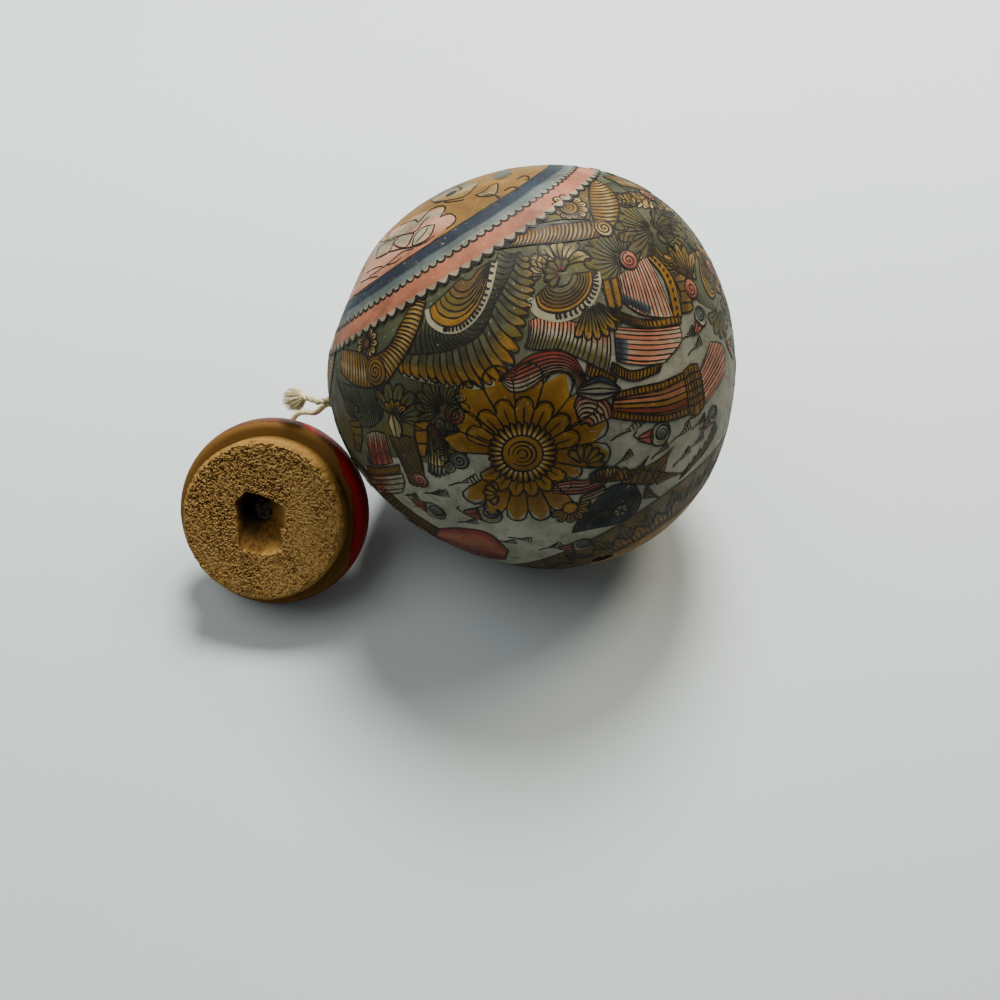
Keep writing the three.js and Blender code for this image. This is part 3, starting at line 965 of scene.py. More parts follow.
    def finish(self, shell, fills_name, inks_name):
        """Both skins as pieces, trimmed at the rim, at the resting flat and round the holes."""
        rim = SHELL_CENTRE + MOUTH_WAY * (shell.rim_distance - RIM_TRIM)
        holes = ((EYE_WAY, shell.eye_radius + HOLE_TRIM), (CORD_HOLE_WAY, shell.cord_hole_radius + HOLE_TRIM))
        for skin in (self.fills, self.inks):
            skin.gather()
            bm = skin.whole
            for plane, normal in ((rim, MOUTH_WAY), (Vector((0, 0, FLAT_TRIM)), Vector((0, 0, -1)))):
                geometry = bm.verts[:] + bm.edges[:] + bm.faces[:]
                bmesh.ops.bisect_plane(
                    bm, geom=geometry, dist=1e-7, plane_co=plane, plane_no=normal, clear_outer=True,
                )
            holed = []
            for face in bm.faces:
                away = face.calc_center_median() - SHELL_CENTRE
                for way, room in holes:
                    if away.dot(way) > 0 and (away - way * away.dot(way)).length < room:
                        holed.append(face)
            bmesh.ops.delete(bm, geom=holed, context="FACES")
            inward = [f for f in bm.faces if f.normal.dot(f.calc_center_median() - SHELL_CENTRE) < 0]
            bmesh.ops.reverse_faces(bm, faces=inward)
        fills = new_piece(fills_name, self.fills.whole, coat_finish("paint_coat"))
        inks = new_piece(inks_name, self.inks.whole, ink_finish(bpy.context.scene.jar_paint))
        return fills, inks


def paint_rings(art, form):
    """Stripes, scallops and leaf borders that run right round the shell."""
    globe = Globe(form)

    def sway(longitude, latitude):
        turn = math.radians(longitude)
        dip = ((longitude + 265) % 360 - 180) / 35
        dip = 3.6 * math.exp(-dip * dip) if latitude < 0 else 0.0
        return -0.72 * math.cos(2 * turn) - 0.36 * math.sin(2 * turn) - 0.26 * math.sin(turn) - dip

    def ring(low, high, names, level, cells=3):
        def place(u, t):
            lat = low + (high - low) * t
            wave = math.sin(14 * u * math.pi + lat) + 0.6 * math.sin(46 * u * math.pi)
            return 360 * u, lat + sway(360 * u, lat) + 0.2 * wave
        art.wash(globe, place, names, 300, cells, level)

    def course(start, stop, latitude):
        steps = [start + (stop - start) * step / 15 for step in range(16)]
        return [(longitude, latitude + sway(longitude, latitude)) for longitude in steps]

    ring(-84, -50.3, ["tan"], 1, 14)
    ring(-50.6, -47.1, ["navy"], 2)
    ring(-47.3, -43.9, ["navy", "sky", "sky", "white"], 1, 6)
    ring(-44.2, -38.2, ["salmon"], 1, 3)
    ring(-38.5, -6.0, ["moss", "moss", "moss", "chalk"], 0.5, 22)
    ring(45.0, 60.0, ["bark", "olive", "pine", "bark"], 1, 12)
    for part in range(12):
        start, stop = 30 * part, 30 * part + 30
        for latitude, level, weight in ((-50.6, 3, 0.9), (45.1, 3, 1.0), (58.5, 7, 1.2), (61.0, 3, 0.8)):
            art.stroke(globe, course(start, stop, latitude), level, weight)
    for part in range(6):
        start, stop = 60 * part, 60 * part + 60
        art.fringe(globe, course(start, stop, -44.5), course(start, stop, -43.0), 19, ["sky", "white"], 3,
                   scallop=0.85, edges=False, lines=False, weight=1.2)
        art.fringe(globe, course(start, stop, -38.8), course(start, stop, -36.9), 15,
                   ["salmon", "white", "white"], 15, scallop=0.85, edges=False, lines=False, weight=1.3)
        art.fringe(globe, course(start, stop, 60), course(start, stop, 46), 5, ["bark", "olive", "bark", "pine"],
                   3, scallop=0.6, point=True, ribs=5, edges=False, across=4)
        art.fringe(globe, course(start + 6, stop + 6, 60), course(start + 6, stop + 6, 51), 6,
                   ["bark", "ochre", "bark"], 5, scallop=0.5, point=True, ribs=3, edges=False, across=4)
    for petal in range(4):
        spot = Spot(globe, 75 + petal * 62, -66, art.rng.uniform(60, 120))
        art.fan(spot, 1.5, 9, -75, 75, 4, ["salmon", "blush", "white"], 3, scallop=0.4, ribs=1)
        for side in (-1, 1):
            art.trace(spot, [(-1, 2 * side), (-5, 5 * side), (-6, 10 * side), (-2, 12 * side), (0, 9 * side),
                       (-2, 8 * side)], 4, 0.9)


def paint_cap(art, globe):
    """Pink cloud, white leaves and loose scrolls on the tan field."""
    art.patch(globe, [(62.4, -51.3), (40.2, -51.5), (27.1, -51.5), (15.8, -51.7), (6.5, -51.8), (1.6, -52.6)],
              [(72.9, -53.8), (76.8, -62.2), (79, -71.9), (31.7, -70.4), (8.4, -68.3), (-4.2, -62.9)],
              ["salmon", "blush", "blush", "white", "blush"], 2.5, 18)
    art.patch(globe, [(0.7, -59), (-3.6, -58), (-5, -55.4), (-3.9, -53.6)],
              [(6.2, -52.4), (3, -52.7), (0.9, -52.8), (-1.3, -52.9)], ["blush"], 2.5, 6)
    art.trace(globe, [(31.7, -70.4), (16.3, -67.4), (12.3, -64), (5.2, -66.1), (-2.7, -65.6), (-4.9, -62.2),
               (-1.2, -59.7), (0.7, -59)], 5)
    art.trace(globe, [(0.7, -59), (-3.6, -58), (-5, -55.4), (-3.9, -53.6), (-1.3, -52.9), (1.5, -52.9)], 5)
    for near, far in (
        ([(17.4, -54.8), (15.4, -58.3), (10, -59.4), (4.4, -57.3)],
         [(17.4, -54.8), (12.1, -53.6), (7.8, -54.3), (4.4, -57.3)]),
        ([(29.8, -61), (27, -63.1), (20.6, -61.5), (15.7, -59.7)],
         [(29.8, -61), (24.5, -57.4), (20, -56), (15.7, -59.7)]),
        ([(44.4, -60.2), (48, -65.7), (38.9, -64.9), (30.2, -63.5)],
         [(44.4, -60.2), (35.8, -58.9), (31.3, -59.3), (30.2, -63.5)]),
    ):
        art.fringe(globe, near, far, 1, ["white", "white", "blush"], 3.5, across=8)
    for points in ([(8, -57.8), (10.5, -56.5), (15.6, -55.1)],
                   [(66.9, -71), (27.8, -63.7), (15.2, -60.1), (9.7, -62), (4.9, -62.9)],
                   [(44.6, -60.4), (30, -58.3), (18.4, -54.7), (12.3, -53), (6.7, -53.3)],
                   [(34.8, -54), (27.2, -54.6), (22.9, -55), (17, -53.5)],
                   [(49.6, -56.7), (40.7, -56), (35, -54.6), (38.2, -54.1), (45, -54.3)],
                   [(56.9, -51.4), (43.8, -50), (35.5, -50.6)],
                   [(53.6, -54.5), (43.4, -53.5), (37.1, -52.1)], [(32.5, -54.2), (27.1, -53), (23.3, -53.4)]):
        art.trace(globe, points, 5, 0.9)
    art.fringe(globe, [(-4, -80.5), (-35.3, -81.6), (-33.4, -74), (-36.9, -67.9)],
               [(-2.9, -71.4), (-10.8, -64.5), (-17.8, -61.6), (-30.3, -64.1)], 1,
               ["cream", "sky", "cream", "tan"], 2.5, across=12, lines=False)
    art.disc(Spot(globe, -16.6, -69.3, UPRIGHT), 0, 0, 1.4, ["pine", "navy"], 5)
    for points in ([(-2, -75.2), (-3.1, -69.1), (-7.5, -66.9), (-7.6, -64.9), (-11.9, -61.5), (-14.5, -59.9)],
                   [(-20.4, -56.4), (-23.7, -54.5), (-23.6, -51.5), (-21.6, -50.5)],
                   [(-28.5, -52.8), (-31.4, -52.8), (-33, -51.6), (-31.4, -50), (-29.9, -50.4)],
                   [(-39.5, -54.3), (-43.7, -54.2), (-44.3, -52.9), (-41.5, -51.5), (-40, -52)],
                   [(-30.6, -73), (-22.6, -67.4), (-19.5, -69.3)]):
        art.trace(globe, points, 5)
    art.fringe(globe, [(-20, -58.9), (-23.8, -57.9), (-30.6, -58.8), (-33, -57.6)],
               [(-20, -58.9), (-20.8, -55.8), (-24.8, -53.7), (-33, -57.6)], 1, ["tan", "cream"], 3, across=8)
    art.patch(globe, [(-45.1, -64.7), (-58.9, -65.3), (-61.2, -62.7)],
              [(-37.8, -61.3), (-38.9, -58.6), (-47.3, -58.9)], ["bark", "sky", "bark"], 3, 8)


def paint_wings(art, globe):
    """Feathered wing, nested ear and bowl, ribbed scrolls and petal fans of the lower half of the belt."""
    spine = [(-12.9, -34), (-6, -30.2), (0.2, -27.1), (8, -22.5), (15.9, -22.8), (22.7, -24.8), (30.7, -28)]
    rim = [(17.4, -34.5), (17.8, -31.6), (15.5, -28.5), (11.8, -27), (6.9, -27.7), (1.8, -30.5), (-4.8, -36.2)]
    art.fringe(globe, spine, [(-8.7, -37.7), (-2.2, -33.1), (4.6, -29.3), (12.6, -27), (16.2, -28.8),
                (18.8, -33.3), (24.7, -33.3)], 30, ["pine", "pine", "moss"], 4, bow=1.0, across=1, weight=0.9)
    branch = [["moss", "moss", "olive", "moss", "ochre"], ["moss", "pine", "moss", "olive", "olive"]]
    row = [["moss", "moss", "olive", "ochre", "mustard"], ["moss", "pine", "olive", "mustard", "ochre"]]
    art.fringe(globe, spine, [(-13.9, -31.8), (-9.6, -24.5), (-2.9, -19), (7.4, -11.2), (17.3, -13),
                (25.2, -18.5), (33.2, -24.1)], 25, branch * 5 + row * 8, 6, scallop=0.28, bow=-0.9, ribs=0)
    art.halo(globe, [(33.3, -23.9), (25.4, -18.2), (17.4, -12.7), (11.6, -10.5)], 1.0, 5)
    art.halo(globe, rim, -1.7, 7)
    art.ear(globe,
            [(4.9, -36.8), (4.7, -35.9), (4, -35.3), (2.9, -35.1), (1.5, -35.5), (-0.1, -36.1), (-3.3, -36.3)],
            rim, 8)
    art.ticks(globe, rim[2:], 19, -1.2, 9)

    gilt = ["bark", "ochre", "ochre", "cream", "ochre", "bark"]
    art.fringe(globe, [(21.7, -38.7), (28.2, -34.7), (34, -31.5), (41.6, -31.1)],
               [(17.7, -36.6), (23.2, -31.3), (30.3, -27), (38.6, -23.6)], 20, gilt, 8, bow=0.5, across=1)
    art.fringe(globe, [(41.6, -31.1), (48.7, -34.6), (59.3, -37.3)],
               [(42.5, -23.8), (51.1, -26.2), (60.7, -31.8)], 15, gilt, 8, bow=0.5, across=1)
    coil = Spot(globe, 41.4, -27.5, UPRIGHT)
    art.coil(coil, 3.7, 3.4, 3.2, ["bark", "ochre"], 10)
    crook = Spot(globe, 42.8, -35, 230)
    art.fan(crook, 0.8, 4.3, -160, 140, 9, ["bark", "bark", "ochre", "cream"], 9, ribs=1)
    art.disc(crook, 0, 0, 1.3, ["bark"], 11)

    art.fringe(globe, [(-22.7, -37.8), (-30.1, -34.3), (-35.7, -30.2)],
               [(-47.8, -38), (-48.1, -37.8), (-48.3, -37.3)], 1, ["olive", "bark"], 7, across=10)
    bloom = Spot(globe, -34.8, -36, UPRIGHT)
    art.fan(bloom, 2.0, 4.9, -40, 150, 7, ["bark", "ochre", "cream"], 9, ribs=1)
    art.fan(bloom, 2.0, 4.0, 160, 310, 6, ["bark", "ochre", "cream"], 9, ribs=1)
    art.coil(bloom, 2.3, 2.0, 2.2, ["ochre", "bark"], 11)
    art.fringe(globe, [(-13.3, -39), (-21.6, -36.8), (-29.5, -32.9), (-37.4, -28.4)],
               [(-9.8, -37.3), (-17, -33.7), (-24.2, -29.6), (-33.1, -25.3)], 25, gilt, 9, bow=0.6, across=1)
    art.fringe(globe, [(-53.8, -38.3), (-45.3, -35.7), (-38.9, -31.8), (-35.5, -27.9)],
               [(-56.9, -37.8), (-53.3, -32.2), (-46.8, -27.4), (-37.3, -24.3)], 17, gilt, 9, bow=-0.6, across=1)
    coil = Spot(globe, -36.7, -26.3, UPRIGHT)
    art.coil(coil, 2.5, 2.3, 2.4, ["cream", "ochre"], 11)

    pale = [["moss", "olive", "cream"], ["moss", "cream", "moss"]]
    art.patch(globe, [(-14, -34), (-19.2, -31.3), (-24.8, -28), (-31.2, -25)],
              [(-9.6, -24.1), (-13, -24.6), (-19.2, -22.4), (-24.8, -16.9)], ["moss", "olive", "moss"], 1.5, 12)
    art.sprays(globe, (
        (-19, -24.9, -82, 85, 8.0, 5, pale, 4), (-33.3, -17.5, -150, -30, 10.0, 5, LEAFY, 5),
        (-34.4, -17.6, -40, 44, 10.5, 4, LEAFY, 4),
        (-14, -25.5, -100, 20, 5.4, 3, pale, 3),
    ), bow=0.7, weight=0.95)
    bowl = [(-8.5, -22.7), (-7.7, -19.9), (-10.3, -16.8), (-14.5, -15.4), (-19.1, -15.8), (-22.5, -17.6),
            (-24.2, -19.9)]
    art.halo(globe, bowl, -2.2, 7)
    art.ear(globe, [(-14.3, -23.6), (-14.1, -22.6), (-14.6, -21.6), (-16.1, -20.9), (-17.7, -20.9),
             (-19.1, -21.5), (-19.6, -22.1)], bowl, 8,
            ("moss", "moss", "bark", "olive", "bark", "mustard", "ochre"))
    art.ticks(globe, bowl[2:], 15, -1.6, 9)
    bud = Spot(globe, -17.5, -23.7, UPRIGHT)
    art.fan(bud, 0.8, 4.2, -150, 40, 6, ["rose", "moss", "olive"], 10, ribs=0)
    art.fan(Spot(globe, -19.3, -15.2, 20), 2.0, 10.0, -48, 42, 6, ["moss", "moss", "olive", "ochre"], 7, ribs=1)
    eye = Spot(globe, -35.1, -16.6, UPRIGHT)
    art.coil(eye, 2.5, 2.0, 2.0, ["rose", "salmon"], 12)


def paint_cloths(art, globe):
    """Striped and folded cloths with gilt borders in the middle of the belt."""
    stripes = [["salmon", "salmon", "white"], ["white", "blush", "salmon"]]

    art.fringe(globe, [(-3.6, -18.8), (-7.7, -17.9), (-11.2, -14.4), (-14.6, -10.6), (-18.9, -6.4)],
               [(0.7, -14.4), (-1.8, -12), (-5.9, -9.5), (-8.9, -4.9), (-12.9, 1.5)], 21,
               [["salmon", "blush", "white", "moss", "moss"], ["salmon", "salmon", "white", "olive", "moss"]], 5,
               bow=0.5, across=1, weight=0.8)
    art.fringe(globe, [(-29.2, -15.2), (-33.2, -15.2), (-36.9, -14.9), (-40.5, -14.4)],
               [(-26.1, -9.7), (-28.1, -5.2), (-31.9, -1.7), (-36.8, 1.3)], 14, stripes, 8, across=1, weight=0.75)
    art.fringe(globe, [(-26.9, -11.9), (-32.4, -4.3)], [(-26.1, -9.7), (-30.1, -3.3)], 5,
               ["sky", "navy", "navy", "navy"], 8.5, lines=False, edges=False)
    for near, far in (([(-25.1, -16.5), (-23.2, -13.4), (-21.8, -9.6)],
                       [(-28.7, -15.2), (-26.9, -11.9), (-25.2, -9)]),
                      ([(-40.5, -14.4), (-40.8, -7.5), (-36.8, 1.3)],
                       [(-43.1, -13.5), (-43.8, -6.2), (-39.5, 2.6)])):
        art.fringe(globe, near, far, 1, ["ochre", "mustard", "ochre"], 10, across=8)
        for dot in range(10):
            x, y = smooth_line([((a + c) / 2, (b + d) / 2) for (a, b), (c, d) in zip(near, far)], (dot + 0.5) / 10)
            art.stroke(globe, [(x - 0.4, y - 0.2), (x, y + 0.1), (x + 0.4, y + 0.3)], 11, 1.7)
    art.fringe(globe, [(-22.5, -10.5), (-25.2, -6.5), (-29.8, -2.2), (-38.8, 2)],
               [(-21.7, -8.7), (-24.6, -4.3), (-29.2, -0.3), (-38.2, 3.8)], 22, GILT, 12, across=1)
    art.fringe(globe, [(-20.5, -6.3), (-18.4, -3.1), (-16.3, 0.8)], [(-37.3, 3.9), (-35.5, 7.5), (-27.7, 8.7)], 8,
               [["salmon", "salmon", "blush"], ["white", "salmon", "white"]], 6, across=1, bow=-0.8, weight=0.75)
    art.fringe(globe, [(-19, -4.1), (-17.7, -1.9), (-16.3, 0.7)], [(-21.7, -2), (-20.4, 0.3), (-18.6, 2.5)], 3,
               ["navy", "navy", "sky"], 6.5, lines=False, edges=False)
    art.fringe(globe, [(-15.2, 0.2), (-18.8, 5.2), (-27.2, 8.4)], [(-13.5, 1.8), (-17.5, 7.3), (-25.2, 9.8)], 18,
               GILT, 8, across=1)
    art.fringe(globe, [(-9.8, -2.9), (-12.2, 0.7), (-14.3, 4.2)], [(-7.9, -1), (-9.9, 2.4), (-12, 5.9)], 10, GILT,
               7, across=1)
    art.fringe(globe, [(9.8, -11.3), (9.3, -7.9), (7.3, -6.2), (4.1, -5.7), (0.4, -6), (-2.8, -5.2), (-4.9, -2.8),
                (-4.6, 1.1)], [(8.3, -11.8), (5.5, -11.8), (1.9, -12.1), (-1.5, -11.5), (-5.4, -9.4), (-7.8, -6),
                (-7.9, -1.9), (-7, 1.7)], 1,
               ["white", "rose", "white", "rose", "salmon", "rose", "salmon", "rose"], 8,
               rings=(0.14, 0.29, 0.43, 0.58, 0.72, 0.86), across=26, weight=0.85)
    ball = Spot(globe, -9.2, 3.7, 215)
    art.fringe(ball, [(-5.5, -1.5), (0, -3.0), (5.5, -1.0)], [(-5.5, 0), (0, 3.0), (5.5, 0)], 1,
               ["white", "sky", "white", "navy", "navy"], 10, rings=(0.25, 0.5, 0.75), across=10)
    art.fringe(globe, [(-0.6, 9.1), (-1.4, 8.9), (-2, 9.2), (-2.4, 9.8), (-2.4, 10.6)],
               [(-1.7, 3.8), (-4.1, 2.3), (-7.6, 4.2), (-9.4, 8), (-8.5, 12)], 1,
               ["rose", "white", "salmon", "white", "salmon", "white", "rose"], 8,
               rings=(0.2, 0.36, 0.52, 0.68, 0.84), across=14)
    art.fringe(globe, [(-11.8, 6.9), (-17.4, 9.2), (-24.7, 12.4), (-32.7, 14.4)],
               [(-8, 11.9), (-14.2, 17.4), (-21.8, 22.7), (-31.4, 26.2)], 1,
               ["ochre", "mustard", "salmon", "ochre", "rose", "mustard", "bark"], 8,
               rings=(0.3, 0.45, 0.6, 0.75), across=16)
    art.fringe(globe, [(-11.8, 6.9), (-17.4, 9.2), (-24.7, 12.4), (-32.7, 14.4)],
               [(-10.9, 8.1), (-16.8, 10.9), (-24, 14.1), (-32.4, 16)], 20, GILT, 10, across=1)
    art.fringe(globe, [(-9.2, 10.4), (-15, 15.7), (-22.6, 21), (-31.4, 23.8)],
               [(-8, 11.9), (-14.2, 17.4), (-21.8, 22.7), (-31.4, 26.2)], 22, GILT, 10, across=1)
    art.fringe(globe, [(-32.1, 14), (-35.2, 14), (-38.1, 15.3)], [(-30, 26.1), (-33.1, 27.6), (-36.4, 27.4)], 3,
               [["bark", "ochre", "mustard", "bark"], ["mustard", "bark", "ochre"]], 12, across=2, ribs=1)
    for high in (0.14, 0.3, 0.46, 0.62, 0.78):
        line = [(-32.1, 14.4), (-35, 14.3), (-38.2, 15.7)]
        low = [(-30, 26.1), (-33.1, 27.6), (-36.7, 27.5)]
        art.trace(globe, [(a + (c - a) * high, b + (d - b) * high) for (a, b), (c, d) in zip(line, low)], 13, 1.1)
    art.fringe(globe, [(-38.3, 17.3), (-37.8, 21.8), (-37.2, 27)], [(-46.7, 13.6), (-53.3, 18), (-51.1, 25)], 10,
               [["salmon", "salmon", "blush"], ["blush", "salmon"]], 9, across=1)


def paint_flower(art, globe):
    """The large mustard flower with its beaded heart, dark bud, ribbons and spiked leaves."""
    heart = Spot(globe, 15.3, 7.4, UPRIGHT)
    gold = ["bark", "mustard", "mustard", "mustard", "ochre"]
    deep = ["mustard", "mustard", "mustard", "ochre"]
    art.fan(heart, 2.0, 22.5, -52, 62, 5, deep, 8, scallop=0.22, ribs=0)
    art.fan(heart, 2.0, 19.5, -92, -50, 2, deep, 9.5, scallop=0.22, ribs=0)
    art.fan(heart, 2.0, 22.0, 60, 108, 2, deep, 9.5, scallop=0.22, ribs=0)
    art.fan(heart, 2.0, 22.0, 140, 232, 5, deep, 8, scallop=0.22, ribs=0)
    art.fan(heart, 2.0, 16.0, 106, 144, 2, deep, 7, scallop=0.25, ribs=0)
    art.fan(heart, 4.0, 14.5, -78, 84, 7, gold, 11, scallop=0.3, ribs=1)
    art.fan(heart, 4.0, 13.0, 118, 242, 6, gold, 11, scallop=0.3, ribs=1)
    art.fan(heart, 4.2, 8.4, -180, 180, 30, ["bark", "cream", "ochre", "bark"], 13, scallop=0.5)
    art.disc(heart, 0, 0, 5.0, ["mustard", "ochre"], 15)
    for ring in (1.2, 2.3, 3.4):
        art.stroke(heart, arc(ring, -100, 220, 14), 16, 0.9)
    art.fan(Spot(globe, 4.3, 18.7, 240), 0.8, 5.6, -80, 80, 6, ["bark", "ochre", "olive"], 12, scallop=0.3)
    art.fan(Spot(globe, 27.6, 14.6, 130), 0.8, 4.2, -80, 80, 5, ["bark", "ochre", "bark"], 12, scallop=0.3)

    bud = Spot(globe, 2.6, 39.2, UPRIGHT)
    art.fringe(globe, [(20.1, 37.4), (13.2, 40.2), (6.3, 43.3), (-0.9, 44), (-5.6, 39.6)],
               [(13.1, 32.4), (7.7, 31.5), (3.7, 29.7), (-1.1, 30.4), (-5.4, 34.2)], 1,
               ["navy", "ink", "ink", "navy"], 10, across=12)
    art.fan(bud, 0.6, 2.0, -180, 180, 6, ["sky", "white"], 12, scallop=0.4)
    for points in ([(14.2, 36.5), (7.9, 35.6), (1.6, 34.5), (-3.5, 35.7)],
                   [(12.7, 39.5), (5.9, 40.4), (-0.4, 40), (-4.9, 38.2)]):
        art.trace(globe, points, 12, 0.8)
    art.fringe(globe, [(15.5, 21.3), (11.9, 24.7), (8, 26.6), (1.8, 27.7)],
               [(13.4, 19.5), (9.1, 21), (6, 23.3), (1.1, 24.3)], 1,
               ["rose", "white", "rose", "salmon", "white", "rose"], 8, rings=(0.25, 0.5, 0.75), across=14)
    art.fringe(globe, [(11.1, 28.4), (7.7, 29.6), (3.7, 30.1)], [(9.5, 27.1), (6.4, 27.8), (2.5, 28.2)], 1,
               ["salmon", "white", "rose"], 12, rings=(0.5,), across=10)
    art.fringe(globe, [(5.8, 25), (2.5, 25.9), (-1.6, 28.1)], [(3.7, 22.4), (0.2, 22.6), (-3.4, 25.5)], 10,
               ["bark", "ochre", "cream"], 9, scallop=0.3, across=2)
    art.fringe(globe, [(5.2, 24.9), (0.4, 28), (-5.5, 31.5)], [(4.5, 22.3), (-0.5, 23.3), (-5.7, 27.5)], 5,
               ["bark", "ochre", "bark"], 8, scallop=0.3, ribs=1)
    art.fringe(globe, [(-1.6, 30.8), (-5.6, 33.8), (-10.5, 37.8)], [(-5.3, 28.2), (-9.3, 30.4), (-15.4, 35.6)], 6,
               ["bark", "olive", "bark"], 7, across=1)
    for near, far, level in (
        ([(-4.4, 29.9), (-9.4, 31.4)], [(-12.6, 28.2), (-13.1, 28.1)], 9),
        ([(-9, 30.7), (-15.8, 36.6)], [(-21.2, 31.1), (-21.7, 31.1)], 8),
        ([(-11.7, 33.2), (-12, 38.7)], [(-23.2, 41.7), (-23.8, 42.6)], 7),
        ([(-8.8, 36.5), (-6, 40.5)], [(-11.3, 43.9), (-11.6, 44.8)], 6),
    ):
        art.fringe(globe, near, far, 1, ["olive", "bark", "ochre", "bark"], level, scallop=0.96, point=True,
                   ribs=3, across=8)
    art.fan(Spot(globe, 14.5, 28.7, UPRIGHT), 1.2, 5.4, 60, 260, 6, ["bark", "ochre", "olive"], 12, scallop=0.4,
            ribs=1)
    art.disc(Spot(globe, 14.5, 28.7, UPRIGHT), 0, 0, 1.9, ["ochre"], 14)


def paint_sky(art, globe):
    """Cloud scrolls and air lines on the chalk ground of the upper half of the belt."""
    art.clouds(globe, 4, (
        (-18.6, 24.7, 202, 3.2), (51, 12.2, 226, 3.3), (35.2, 19.1, 205, 3.4), (22, 44.7, 205, 3.0),
    ))
    art.ripples(globe, 4, (
        (-5, 17.3, 195, 8.0), (38.7, 6.4, 198, 8.5), (47.5, 6.2, 212, 6.0), (47.4, 18.1, 212, 5.5),
        (38.1, 29.1, 240, 5.5), (-20.5, 29.4, 190, 7.0), (-21.4, 7.9, 190, 7.5), (35.3, 38.9, 205, 6.0),
        (-12.4, 19, 192, 6.0), (36.8, 14.4, 215, 5.0), (-2.3, 24.7, 190, 5.0),
        (-36, 11.6, 190, 6.0), (-27.1, 27.5, 192, 6.0), (-13.1, 29.8, 190, 5.0), (43.7, 29.2, 225, 5.0),
        (57.7, 9.1, 212, 4.5), (-37, 20.9, 190, 5.0), (35.9, 47, 205, 5.0),
    ))


